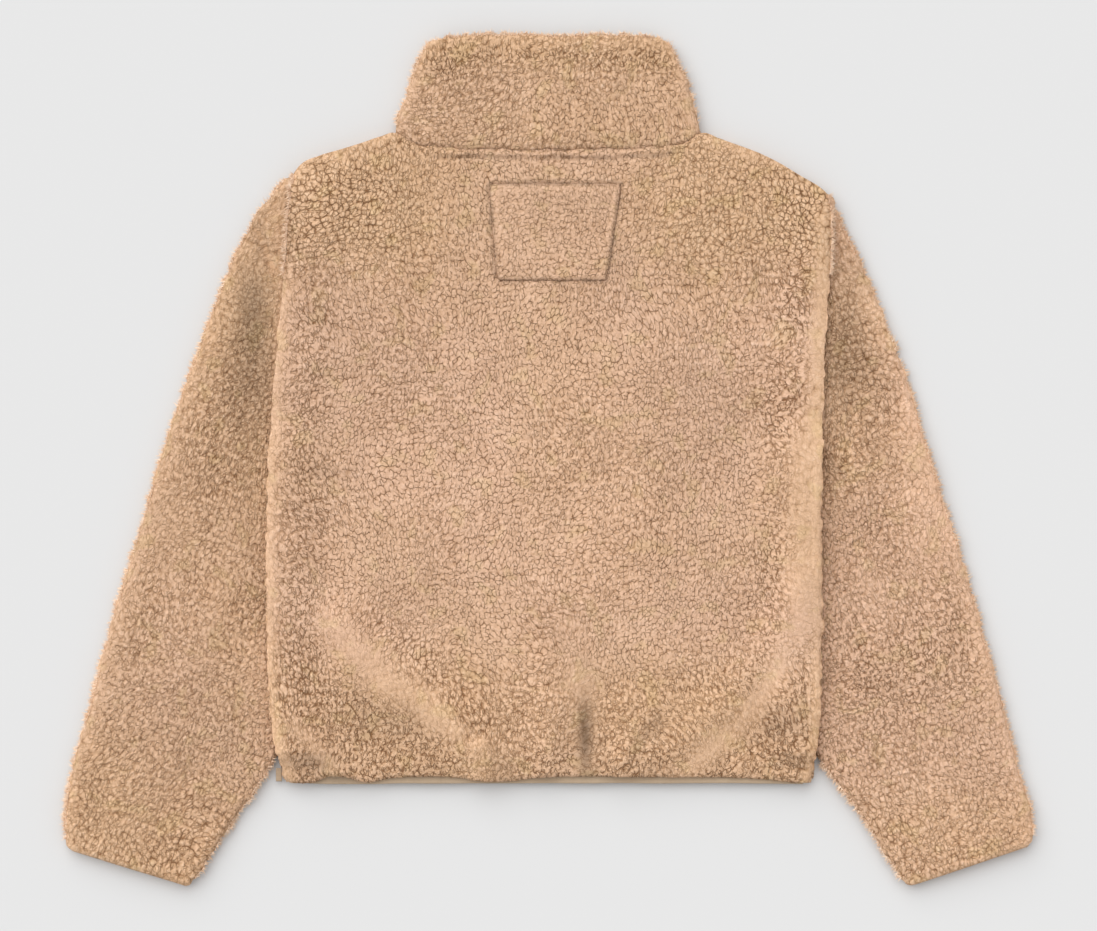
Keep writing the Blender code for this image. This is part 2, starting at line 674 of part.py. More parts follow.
def patch_point(i, j):
    """A point of the back patch's outer face, taken from the back panel's own face."""
    up = j / PATCH_STEPS
    middle = mix(PATCH_BOTTOM.x, PATCH_TOP.x, up)
    half = mix(PATCH_BOTTOM_HALF, PATCH_TOP_HALF, up)
    x = middle + half * (2.0 * i / PATCH_STEPS - 1.0)
    y = mix(PATCH_BOTTOM.y, PATCH_TOP.y, up)
    return x, y, back_face(x, y) + LAYER_GAP + PATCH_WALL


def make_patch(collection):
    """The four-sided patch stitched on the back below the collar."""
    return cloth_piece("back_patch", "pile", collection, PATCH_STEPS, PATCH_STEPS, patch_point,
                       PATCH_WALL)


def hem_binding_point(i, j):
    """A point of the hem binding's outer face: a thin band from the zip round the back to the zip."""
    y = BINDING_HEM if j == 0 else BINDING_HEM + BINDING_DEPTH
    inset = CLOTH + BINDING_INSET
    left, right = body_edge(y, -1) + inset, body_edge(y, 1) - inset
    low = CLOTH + LAYER_GAP
    high = BACK_TOP - CLOTH - LAYER_GAP
    radius = (high - low) / 2.0
    front, back = COLLAR_FRONT_STEPS, BACK_ACROSS
    fold_end = front + FOLD_STEPS
    back_end = fold_end + back
    last = 2 * fold_end + back
    opening = ZIP_TAPE_OUT + SEAM_GAP
    if i <= front:
        return mix(-opening, left + radius, i / front), y, low
    if i < fold_end:
        angle = math.pi * (i - front) / FOLD_STEPS
        return left + radius - radius * math.sin(angle), y, low + radius - radius * math.cos(angle)
    if i <= back_end:
        return mix(left + radius, right - radius, (i - fold_end) / back), y, high
    if i < last - front:
        angle = math.pi * (i - back_end) / FOLD_STEPS
        return right - radius + radius * math.sin(angle), y, low + radius + radius * math.cos(angle)
    return mix(right - radius, opening, (i - (last - front)) / front), y, low


def make_hem_binding(collection):
    """The smooth binding that gathers the hem."""
    steps = 2 * (COLLAR_FRONT_STEPS + FOLD_STEPS) + BACK_ACROSS
    return cloth_piece("hem_binding", "binding", collection, steps, 1, hem_binding_point, TAPE)


def make_side_label(collection):
    """A plain folded loop in the left side seam, just above the hem."""
    middle = (LABEL_LOW + LABEL_HIGH) / 2.0
    edge = body_edge(LABEL_HIGH, -1)
    seam = lift(middle) + side_curl(middle, -1, back=False)
    low = (edge - LABEL_OUT, LABEL_LOW, seam - LABEL_WALL / 2.0)
    high = (edge - SEAM_GAP, LABEL_HIGH, seam + LABEL_WALL / 2.0)
    return box("side_label", "binding", collection, low, high)


# --- the zip -------------------------------------------------------------------------------------


def make_zip(collection):
    """The zip: two tapes inside the fronts, the closed chain, the slider and its pull tab."""
    tape_low = CLOTH + LAYER_GAP
    tape_high = tape_low + TAPE
    box("zip_tape_left", "zip_tape", collection,
        (-ZIP_TAPE_OUT, ZIP_LOW, tape_low), (-ZIP_TAPE_IN, ZIP_HIGH, tape_high))
    box("zip_tape_right", "zip_tape", collection,
        (ZIP_TAPE_IN, ZIP_LOW, tape_low), (ZIP_TAPE_OUT, ZIP_HIGH, tape_high))
    middle = (tape_low + tape_high) / 2.0
    chain_top = ZIP_HIGH - CHAIN_END
    chain_low, chain_high = middle - CHAIN_HEIGHT / 2.0, middle + CHAIN_HEIGHT / 2.0
    box("zip_chain", "zip_chain", collection,
        (-CHAIN_HALF, ZIP_LOW, chain_low), (CHAIN_HALF, chain_top, chain_high))

    slider_top = chain_top + SLIDER_PAST
    slider_low = slider_top - SLIDER_LENGTH
    inner_plate = chain_high + LAYER_GAP
    outer_plate_top = SLIDER_FACE + SLIDER_PLATE
    plates = [
        box("plate", "metal", collection, (-SLIDER_HALF, slider_low, SLIDER_FACE),
            (SLIDER_HALF, slider_top, outer_plate_top)),
        box("plate", "metal", collection, (-SLIDER_HALF, slider_low, inner_plate),
            (SLIDER_HALF, slider_top, inner_plate + SLIDER_PLATE)),
        box("post", "metal", collection,
            (-SLIDER_POST_HALF, chain_top + LAYER_GAP, SLIDER_FACE + JOINED),
            (SLIDER_POST_HALF, slider_top - JOINED, inner_plate + SLIDER_PLATE - JOINED)),
    ]
    pivot_y = slider_low + PIVOT_FROM_END
    lug_low = PIVOT_HEIGHT - PIVOT_RADIUS - LUG_INSET
    for side in (-1, 1):
        near, far = sorted((side * (PULL_HALF + LAYER_GAP), side * (SLIDER_HALF - LUG_INSET)))
        plates.append(box("lug", "metal", collection, (near, pivot_y - LUG_HALF, lug_low),
                          (far, pivot_y + LUG_HALF, SLIDER_FACE + JOINED)))
    finished(join_solids(plates), "zip_slider", "metal", collection)

    bpy.ops.mesh.primitive_cylinder_add(
        vertices=16, radius=PIVOT_RADIUS * MM, depth=2.0 * PULL_HALF * MM,
        location=(0.0, 0.0, 0.0), rotation=(0.0, math.pi / 2.0, 0.0))
    bar = finished(bpy.context.active_object, "bar", "metal", collection)
    bpy.ops.object.transform_apply(location=False, rotation=True, scale=False)
    for vertex in bar.data.vertices:
        vertex.co += Vector((0.0, pivot_y, PIVOT_HEIGHT)) * MM
    tab = box("tab", "metal", collection,
              (-PULL_HALF, pivot_y - PULL_LENGTH, PIVOT_HEIGHT - PULL_THICK / 2.0),
              (PULL_HALF, pivot_y + JOINED, PIVOT_HEIGHT + PULL_THICK / 2.0))
    finished(join_solids([bar, tab]), "zip_pull", "metal", collection)


def main():
    """Build the jacket."""
    for old in list(bpy.data.objects):
        bpy.data.objects.remove(old, do_unlink=True)
    collection = new_collection("sherpa_jacket")
    make_back(collection)
    make_front(-1, "front_left", collection)
    make_front(1, "front_right", collection)
    make_sleeve(-1, "sleeve_left", LEFT_SLEEVE, collection)
    make_sleeve(1, "sleeve_right", RIGHT_SLEEVE, collection)
    make_collar(collection)
    make_patch(collection)
    make_hem_binding(collection)
    make_cuff_binding(-1, "cuff_binding_left", LEFT_SLEEVE, collection)
    make_cuff_binding(1, "cuff_binding_right", RIGHT_SLEEVE, collection)
    make_side_label(collection)
    make_zip(collection)


main()
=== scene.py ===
"""Looks of a high-collared sherpa jacket that lies flat on its front, its back upwards.

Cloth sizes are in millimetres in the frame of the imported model: +X across the jacket, +Y towards the
collar, +Z up from the surface that it lies on. Each sheet of sherpa is a closed wall with a fine,
clumped pile face over a plain backing.
"""

import logging
import math
from dataclasses import dataclass, field
from enum import Enum

import bpy
import numpy as np
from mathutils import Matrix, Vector


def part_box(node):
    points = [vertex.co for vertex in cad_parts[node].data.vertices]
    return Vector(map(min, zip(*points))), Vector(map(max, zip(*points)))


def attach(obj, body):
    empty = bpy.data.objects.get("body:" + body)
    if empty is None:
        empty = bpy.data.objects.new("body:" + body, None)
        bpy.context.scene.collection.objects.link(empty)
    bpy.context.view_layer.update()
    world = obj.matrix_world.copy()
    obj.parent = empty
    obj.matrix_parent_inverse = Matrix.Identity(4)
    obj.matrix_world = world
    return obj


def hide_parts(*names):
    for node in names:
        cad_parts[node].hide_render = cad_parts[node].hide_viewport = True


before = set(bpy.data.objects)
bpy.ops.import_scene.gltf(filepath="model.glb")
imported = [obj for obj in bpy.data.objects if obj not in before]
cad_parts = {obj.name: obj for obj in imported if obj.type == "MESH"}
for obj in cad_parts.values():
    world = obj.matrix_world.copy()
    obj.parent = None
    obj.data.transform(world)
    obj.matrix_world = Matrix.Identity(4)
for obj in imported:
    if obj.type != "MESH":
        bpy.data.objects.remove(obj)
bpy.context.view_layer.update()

LOG = logging.getLogger("sherpa_jacket")

MM = 0.001
IMAGE_WIDTH = 1097
MM_PER_PIXEL = 0.86
SIDE_NAMES = {-1: "left", 1: "right"}  # as in the picture
IMAGE_MIDDLE_MM = (0.43, -4.73)  # the point of the jacket's plane in the middle of the image

Array = np.ndarray
Point = tuple[float, float]
Colour = tuple[float, float, float]


# --- numbers -------------------------------------------------------------------------------------


def capped(share: Array | float) -> Array:
    """The share, kept from 0 to 1."""
    return np.clip(share, 0.0, 1.0)


def smooth(share: Array | float) -> Array:
    """A soft step from 0 to 1."""
    inside = capped(share)
    return inside * inside * (3.0 - 2.0 * inside)


def mix(low: Array | float, high: Array | float, share: Array | float) -> Array:
    """The value a share of the way from low to high."""
    return low + (high - low) * share


def steps(count: int, start: float = 0.0, end: float = 1.0) -> Array:
    """The ends of so many even steps."""
    return np.linspace(start, end, count + 1)


def bell(away: Array) -> Array:
    """1 in the middle, falling off softly on both sides."""
    return np.exp(-(away**2))


def rounded(share: Array) -> Array:
    """How far a round corner falls short, from 1 at its edge to 0 where it is straight."""
    return 1.0 - np.sqrt(capped(1.0 - (1.0 - capped(share)) ** 2))


def curve(table: tuple[tuple[float, ...], ...], column: int, at: Array) -> Array:
    """Read a table's column on a smooth curve through its rows.

    Args:
        table: Rows whose first column is the key, rising.
        column: The column to read.
        at: Keys to read it at.

    Returns:
        The column's value at each key.
    """
    rows = np.array(table, float)
    keys, values = rows[:, 0], rows[:, column]
    slopes = np.gradient(values, keys)
    inside = np.clip(at, keys[0], keys[-1])
    low = np.clip(np.searchsorted(keys, inside, side="right") - 1, 0, len(keys) - 2)
    step = keys[low + 1] - keys[low]
    t = (inside - keys[low]) / step
    rising = t * t * (3.0 - 2.0 * t)
    start_slope = t * (1.0 - t) ** 2 * step * slopes[low]
    end_slope = t * t * (t - 1.0) * step * slopes[low + 1]
    return mix(values[low], values[low + 1], rising) + start_slope + end_slope


def straight(table: tuple[tuple[float, ...], ...], column: int, at: Array) -> Array:
    """Read a table's column along straight lines between its rows."""
    rows = np.array(table, float)
    return np.interp(at, rows[:, 0], rows[:, column])


def hashed(column: Array, row: Array, seed: int) -> Array:
    """A repeatable number from 0 to 1 for each cell of a grid."""
    stirred = column.astype(np.int64) * 374761393 + row.astype(np.int64) * 668265263 + seed * 974711
    stirred = (stirred ^ (stirred >> 13)) * 1274126177
    stirred = stirred ^ (stirred >> 16)
    return (stirred & 0xFFFFFF) / float(0x1000000)


def wander(u: Array, v: Array, size: float, seed: int) -> Array:
    """Soft unevenness from -1 to 1.

    Args:
        u: Place across the cloth.
        v: Place along the cloth.
        size: Width of one swelling.
        seed: Which pattern.

    Returns:
        The unevenness at each place.
    """
    column, row = np.floor(u / size), np.floor(v / size)
    across, along = smooth(u / size - column), smooth(v / size - row)
    low = mix(hashed(column, row, seed), hashed(column + 1, row, seed), across)
    high = mix(hashed(column, row + 1, seed), hashed(column + 1, row + 1, seed), across)
    return 2.0 * mix(low, high, along) - 1.0


def waver(x: Array, size: float, seed: int) -> Array:
    """Soft unevenness from -1 to 1 along a line."""
    return wander(x, 0.0 * x, size, seed)


def curls(u: Array, v: Array, size: float, seed: int) -> tuple[Array, Array]:
    """Clumps of curly pile on the cloth.

    Args:
        u: Place across the cloth.
        v: Place along the cloth.
        size: Width of one clump.
        seed: Which pattern.

    Returns:
        How domed each place is, and how far it is from the crevice round its clump, from 0 to 1.
    """
    u = u + 0.35 * size * wander(u, v, 1.6 * size, seed + 1)
    v = v + 0.35 * size * wander(u, v, 1.6 * size, seed + 2)
    column, row = np.floor(u / size), np.floor(v / size)
    nearest = np.full(u.shape, 9.0)
    second = np.full(u.shape, 9.0)
    for right in (-1, 0, 1):
        for up in (-1, 0, 1):
            middle_u = column + right + 0.5 + 0.8 * (hashed(column + right, row + up, seed) - 0.5)
            middle_v = row + up + 0.5 + 0.8 * (hashed(column + right, row + up, seed + 7) - 0.5)
            distance = np.hypot(u / size - middle_u, v / size - middle_v)
            second = np.minimum(second, np.maximum(distance, nearest))
            nearest = np.minimum(nearest, distance)
    return 1.0 - smooth(nearest / 0.85), smooth((second - nearest) / 0.42)


# --- folds ---------------------------------------------------------------------------------------


@dataclass(frozen=True)
class Fold:
    """A ridge (or trough, with a height below 0) along a bent line, in millimetres.

    It fades in over its first `rise` and out over its last `fall` share.
    """

    start: Point
    bend: Point
    end: Point
    height: float
    reach: float
    combed: float = 0.0
    rise: float = 0.25
    fall: float = 0.2

    def profile(self, x: Array, y: Array) -> Array:
        """How much of the fold reaches each place, from 0 to 1."""
        best = np.full(x.shape, 1e9)
        along = np.zeros(x.shape)
        for share in steps(32):
            near = [
                (1 - share) ** 2 * a + 2 * share * (1 - share) * b + share**2 * c
                for a, b, c in zip(self.start, self.bend, self.end)
            ]
            distance = np.hypot(x - near[0], y - near[1])
            along = np.where(distance < best, share, along)
            best = np.minimum(best, distance)
        faded = smooth(along / self.rise) * smooth((1.0 - along) / self.fall + 0.35)
        return faded * bell(best / self.reach)


@dataclass
class Drape:
    """The folds of one sheet, and what they do to its height and its pile."""

    folds: tuple[Fold, ...] = ()

    def height(self, x: Array, y: Array) -> Array:
        """The height that the folds add."""
        return sum((fold.height * fold.profile(x, y) for fold in self.folds), np.zeros(x.shape))

    def combed(self, x: Array, y: Array) -> Array:
        """How far the folds comb the pile smooth, from 0 to 1."""
        total = sum((fold.combed * fold.profile(x, y) for fold in self.folds), np.zeros(x.shape))
        return capped(total)


@dataclass(frozen=True)
class ToneAndShade:
    """A soft lighter or darker patch of pile: its middle, its half widths and its change. Some patches are
    the pile's tone and some are painted shade, in fold troughs, by the hem and beside the body's rims.
    """

    middle: Point
    reach: Point
    change: float

    def over(self, x: Array, y: Array) -> Array:
        """The change at each place."""
        away = ((x - self.middle[0]) / self.reach[0]) ** 2 + ((y - self.middle[1]) / self.reach[1]) ** 2
        return self.change * np.exp(-away)


def toned_and_shaded(tones_and_shade: tuple[ToneAndShade, ...], x: Array, y: Array) -> Array:
    """The sum of soft patches at each place."""
    return sum((tone.over(x, y) for tone in tones_and_shade), np.zeros(x.shape))


# --- cloth as meshes -----------------------------------------------------------------------------


class Facing(Enum):
    """Which way the outer face of a sheet looks where it lies flat."""

    UP = 1.0
    DOWN = -1.0


@dataclass
class Sheet:
    """A grid of places on the outer face of a sheet of cloth: rows, columns and x, y, z."""

    places: Array
    facing: Facing
    closed: bool = False

    @property
    def ground(self) -> tuple[Array, Array]:
        """How far across and along the jacket each place is."""
        return self.places[:, :, 0], self.places[:, :, 1]

    def normals(self) -> Array:
        """The outward direction at each place."""
        if self.closed:
            wrapped = np.concatenate([self.places[:, -1:], self.places, self.places[:, :1]], axis=1)
            across = (wrapped[:, 2:] - wrapped[:, :-2]) / 2.0
        else:
            across = np.gradient(self.places, axis=1)
        along = np.gradient(self.places, axis=0)
        square = np.cross(across, along)
        square /= np.maximum(np.linalg.norm(square, axis=2, keepdims=True), 1e-9)
        flat = self.places[:, :, 2] * self.facing.value
        marked = np.unravel_index(np.argmax(flat), flat.shape)
        return square if square[marked][2] * self.facing.value > 0.0 else -square

    def cloth_places(self) -> tuple[Array, Array]:
        """Each place measured along the cloth: across from the middle column, along from the first row."""
        across = np.linalg.norm(np.diff(self.places, axis=1), axis=2)
        along = np.linalg.norm(np.diff(self.places, axis=0), axis=2)
        u = np.pad(np.cumsum(across, axis=1), ((0, 0), (1, 0)))
        v = np.pad(np.cumsum(along, axis=0), ((1, 0), (0, 0)))
        return u - u[:, u.shape[1] // 2][:, None], v

    def area(self) -> float:
        """The sheet's area in square metres."""
        across = np.diff(self.places, axis=1)[:-1]
        along = np.diff(self.places, axis=0)[:, :-1]
        return float(np.linalg.norm(np.cross(across, along), axis=2).sum()) * MM * MM


PILE_READINGS = ("crevice", "coarse", "combed", "streaked", "golden", "shade")
PATTERN_PLACE = "cloth_place"


@dataclass
class Pile:
    """How the pile stands on a sheet, each as a number for every place of its grid.

    `coarse` is 0 for small curls and 1 for big ones, `combed` is 1 where the pile lies smooth,
    `streaked` is 1 where its crevices run along the cloth, `golden` is 1 where it is yellower,
    `shade` is its tone with painted shade in folds, seams, grooves and beside the body, and `tall` is
    its depth in millimetres. `lean` is how far its pattern is turned, in degrees.
    """

    coarse: Array
    combed: Array
    streaked: Array
    golden: Array
    shade: Array
    tall: Array
    seed: int
    lean: float = 0.0
    fine_curl: float = 4.8
    big_curl: float = 8.6
    mean_height: float = 0.62  # of the curls, as a share of the pile's depth

    def raise_on(self, sheet: Sheet) -> tuple[Array, Array]:
        """Clump the pile on a sheet.

        Args:
            sheet: The sheet that carries it.

        Returns:
            The height of the pile's face over the sheet, and how far each place is out of a crevice.
        """
        u, v = sheet.cloth_places()
        fine_dome, fine_rim = curls(u, v, self.fine_curl, self.seed)
        big_dome, big_rim = curls(u, v, self.big_curl, self.seed + 11)
        dome = mix(fine_dome, mix(big_dome, fine_dome, 0.25), self.coarse)
        rim = mix(fine_rim, mix(big_rim, fine_rim, 0.2), self.coarse)
        broken = smooth(0.5 + 0.9 * wander(u, v, 1.3 * self.big_curl, self.seed + 5))
        rim = mix(rim, 1.0, 0.5 * broken)
        curled = 0.5 * dome + 0.5 * rim
        flattened = mix(curled, self.mean_height + 0.12 * (curled - self.mean_height), self.combed)
        loose = 0.25 * wander(u, v, 2.4, self.seed + 3) * (1.0 - self.combed)
        on_edge = smooth((0.9 - np.abs(sheet.normals()[:, :, 2])) / 0.5)
        tufts = 1.35 * wander(u, v, 6.5, self.seed + 41) + 1.1 * wander(u, v, 3.6, self.seed + 42)
        full = np.minimum(self.tall / 1.1, 1.0)
        face = self.tall * (flattened - self.mean_height) + full * (loose + tufts * on_edge)
        return face, mix(rim, 1.0, self.combed)

    def worn(self, sheet: Sheet) -> tuple[Array, dict[str, Array]]:
        """Put the pile on a sheet.

        Args:
            sheet: The sheet that carries it.

        Returns:
            The places of the pile's face, pressed flat underneath, and its readings by name.
        """
        normals, z = sheet.normals(), sheet.places[:, :, 2]
        raised, out_of_crevice = self.raise_on(sheet)
        under = smooth(-normals[:, :, 2] * 2.0) * smooth((3.0 - z) / 2.0)
        raised = mix(raised, 0.35 * np.minimum(raised, 0.0), under)
        outer = sheet.places + normals * raised[:, :, None]
        outer[:, :, 2] = np.maximum(outer[:, :, 2], 0.0)
        # painted light: rims that face sideways are made lighter and yellower in the golden and shade
        # readings
        lit = smooth((0.85 - np.abs(normals[:, :, 2])) / 0.5) * smooth((z - 3.0) / 3.0)
        values = (out_of_crevice, self.coarse, self.combed, self.streaked, np.maximum(self.golden, 0.9 * lit),
                  self.shade + 0.10 * lit)
        return outer, dict(zip(PILE_READINGS, values))
    def pattern_places(self, sheet: Sheet) -> Array:
        """Where each place falls on the pile's pattern, which runs on over the rolled edges."""
        normals = sheet.normals()
        x, y, z = (sheet.places[:, :, axis] for axis in range(3))
        over = np.clip(np.percentile(z, 60) - z, 0.0, 9.0)
        x = x + normals[:, :, 0] * over
        y = y + normals[:, :, 1] * over
        swirl_x = 9.0 * wander(x, y, 83.0, self.seed + 31) + 2.2 * wander(x, y, 19.0, self.seed + 33)
        swirl_y = 9.0 * wander(x, y, 83.0, self.seed + 32) + 2.2 * wander(x, y, 19.0, self.seed + 34)
        turn = math.radians(self.lean)
        across = (x + swirl_x) * math.cos(turn) + (y + swirl_y) * math.sin(turn)
        along = (y + swirl_y) * math.cos(turn) - (x + swirl_x) * math.sin(turn)
        return np.stack([across, along, np.full(across.shape, float(self.seed))], axis=2) * MM


def meshed(name: str, corners: Array, faces: list) -> bpy.types.Object:
    """Make a piece from its corners, in millimetres, and the faces that join them."""
    mesh = bpy.data.meshes.new(name)
    mesh.from_pydata((corners * MM).tolist(), [], faces)
    mesh.update()
    piece = bpy.data.objects.new(name, mesh)
    bpy.context.scene.collection.objects.link(piece)
    return piece


def noted(piece: bpy.types.Object, name: str, kind: str, *values: Array) -> None:
    """Write one of a piece's attributes.

    Args:
        piece: The piece.
        name: The attribute's name.
        kind: FLOAT or FLOAT_VECTOR.
        values: Its values on the outer face, and then on the backing.
    """
    attribute = piece.data.attributes.new(name, kind, "POINT")
    line = np.concatenate([np.asarray(part, float).reshape(-1) for part in values])
    attribute.data.foreach_set("vector" if kind == "FLOAT_VECTOR" else "value", line.astype(np.float32))


def walled(front: Array, back: Array, coarse_step: int, closed: bool) -> list[list[int]]:
    """Join the outer face and the backing of a wall of cloth, with rims between them.

    Args:
        front: The numbers of the outer face's corners, on its grid.
        back: The same for the backing.
        coarse_step: How many steps of the outer face one step of the backing spans.
        closed: Whether the sheet runs round and has no side rims.

    Returns:
        The corners of each face.
    """

    def quads(grid: Array) -> Array:
        """The four corners of each step of a grid."""
        return np.stack([grid[:-1, :-1], grid[:-1, 1:], grid[1:, 1:], grid[1:, :-1]], axis=-1).reshape(-1, 4)

    polygons = quads(front).tolist() + quads(back)[:, ::-1].tolist()
    edges = [(front[0], back[0], False), (front[-1], back[-1], True)]
    if not closed:
        edges += [(front[:, 0], back[:, 0], True), (front[:, -1], back[:, -1], False)]
    for fine, coarse, turned in edges:
        for step in range(len(coarse) - 1):
            line = fine[step * coarse_step:(step + 1) * coarse_step + 1].tolist()
            ring = line[::-1] + [int(coarse[step]), int(coarse[step + 1])]
            polygons.append(ring[::-1] if turned else ring)
    return polygons


def clothed(name: str, sheet: Sheet, wall: float, coarse_step: int,
            pile: Pile | None = None) -> bpy.types.Object:
    """Make a closed wall of cloth: a fine outer face, a coarse backing and the rims between them.

    Args:
        name: The piece's name.
        sheet: Its outer face.
        wall: Its thickness in millimetres.
        coarse_step: How many steps of the outer face one step of the backing spans.
        pile: The pile on its outer face.

    Returns:
        The piece, with the pile's readings as attributes.
    """
    places, normals = sheet.places, sheet.normals()
    rows, columns = places.shape[:2]
    outer, readings = places, {reading: np.ones((rows, columns)) for reading in PILE_READINGS}
    if pile is not None:
        outer, readings = pile.worn(sheet)
    picked = np.ix_(np.arange(0, rows, coarse_step), np.arange(0, columns, coarse_step))
    inner = (places - normals * wall)[picked]
    inner[:, :, 2] = np.maximum(inner[:, :, 2], 0.0)

    front = np.arange(rows * columns).reshape(rows, columns)
    back = rows * columns + np.arange(inner.shape[0] * inner.shape[1]).reshape(inner.shape[:2])
    if sheet.closed:
        front, back = (np.concatenate([grid, grid[:, :1]], axis=1) for grid in (front, back))
    polygons = walled(front, back, coarse_step, sheet.closed)
    natural = np.cross(places[0, 1] - places[0, 0], places[1, 0] - places[0, 0])
    if float(np.dot(natural, normals[0, 0])) <= 0.0:
        polygons = [polygon[::-1] for polygon in polygons]

    piece = meshed(name, np.concatenate([outer.reshape(-1, 3), inner.reshape(-1, 3)]), polygons)
    piece.data.polygons.foreach_set("use_smooth", np.ones(len(polygons), bool))
    if pile is not None:
        pattern = pile.pattern_places(sheet)
        noted(piece, PATTERN_PLACE, "FLOAT_VECTOR", pattern, pattern[picked])
    for reading, values in readings.items():
        noted(piece, reading, "FLOAT", values, np.ones(inner.shape[:2]))
    piece.data.update()
    return piece


@dataclass(frozen=True)
class Fringe:
    """Loose fibres that stand out past a sheet's rolled and cut edges, in millimetres."""

    count: int
    seed: int
    over_top: bool = False
    shortest: float = 1.2
    longest: float = 5.4
    foot: float = 0.6
    spread: float = 0.8
    least_height: float = 2.5
    flattest: float = 0.7  # fibres grow only where the cloth faces up or down by less than this share
    apart: float = 0.9
    sunk: float = 0.4

    def feet(self, sheet: Sheet, nap: Pile, kept: Array) -> tuple[Array, Array]:
        """Find where the fibres may grow.

        Args:
            sheet: The sheet that carries them.
            nap: The pile that they grow from.
            kept: Where they may stand.

        Returns:
            The places, and the way out of the cloth at each.
        """
        normals = sheet.normals()
        high = sheet.places[:, :, 2] > self.least_height
        steep = kept & (np.abs(normals[:, :, 2]) < self.flattest) & high
        steep[:6] = False
        skin = sheet.places + normals * nap.raise_on(sheet)[0][:, :, None]
        feet, outwards = [skin[steep]], [normals[steep]]
        if self.over_top:
            away = sheet.places[-1] - sheet.places[-2]
            away /= np.maximum(np.linalg.norm(away, axis=1, keepdims=True), 1e-9)
            on_row = kept[-1] & high[-1]
            feet += [skin[-1][on_row]] * 4
            outwards += [away[on_row]] * 4
        return np.concatenate(feet), np.concatenate(outwards)

    def piece(self, name: str, sheet: Sheet, nap: Pile, kept: Array) -> bpy.types.Object:
        """Set the fibres on a sheet.

        Args:
            name: The piece's name.
            sheet: The sheet that carries them.
            nap: The pile that they grow from.
            kept: Where they may stand.

        Returns:
            The piece: a thin three-sided spike for each fibre.
        """
        feet, outwards = self.feet(sheet, nap, kept)
        chance = np.random.default_rng(self.seed)
        picked = chance.integers(0, len(feet), self.count)
        out = outwards[picked]
        side = np.cross(out, [0.0, 0.0, 1.0])
        side /= np.maximum(np.linalg.norm(side, axis=1, keepdims=True), 1e-9)
        up = np.cross(side, out)
        foot = feet[picked] + side * chance.uniform(-self.apart, self.apart, (self.count, 1))
        foot = foot - out * self.sunk
        lean = out + side * chance.uniform(-self.spread, self.spread, (self.count, 1))
        lean = lean + up * chance.uniform(-self.spread, self.spread, (self.count, 1))
        length = mix(self.shortest, self.longest, chance.uniform(0.0, 1.0, (self.count, 1)) ** 2.0)
        corners = [foot + self.foot * (side * math.cos(turn) + up * math.sin(turn))
                   for turn in (0.0, math.tau / 3.0, 2.0 * math.tau / 3.0)]
        places = np.stack([*corners, foot + lean * length], axis=1)
        places[:, :, 2] = np.maximum(places[:, :, 2], 0.1)
        first = 4 * np.arange(self.count)[:, None, None]
        faces = (first + np.array([[0, 1, 3], [1, 2, 3], [2, 0, 3], [2, 1, 0]])[None]).reshape(-1, 3)
        return meshed(name, places.reshape(-1, 3), faces.tolist())


# --- finishes ------------------------------------------------------------------------------------


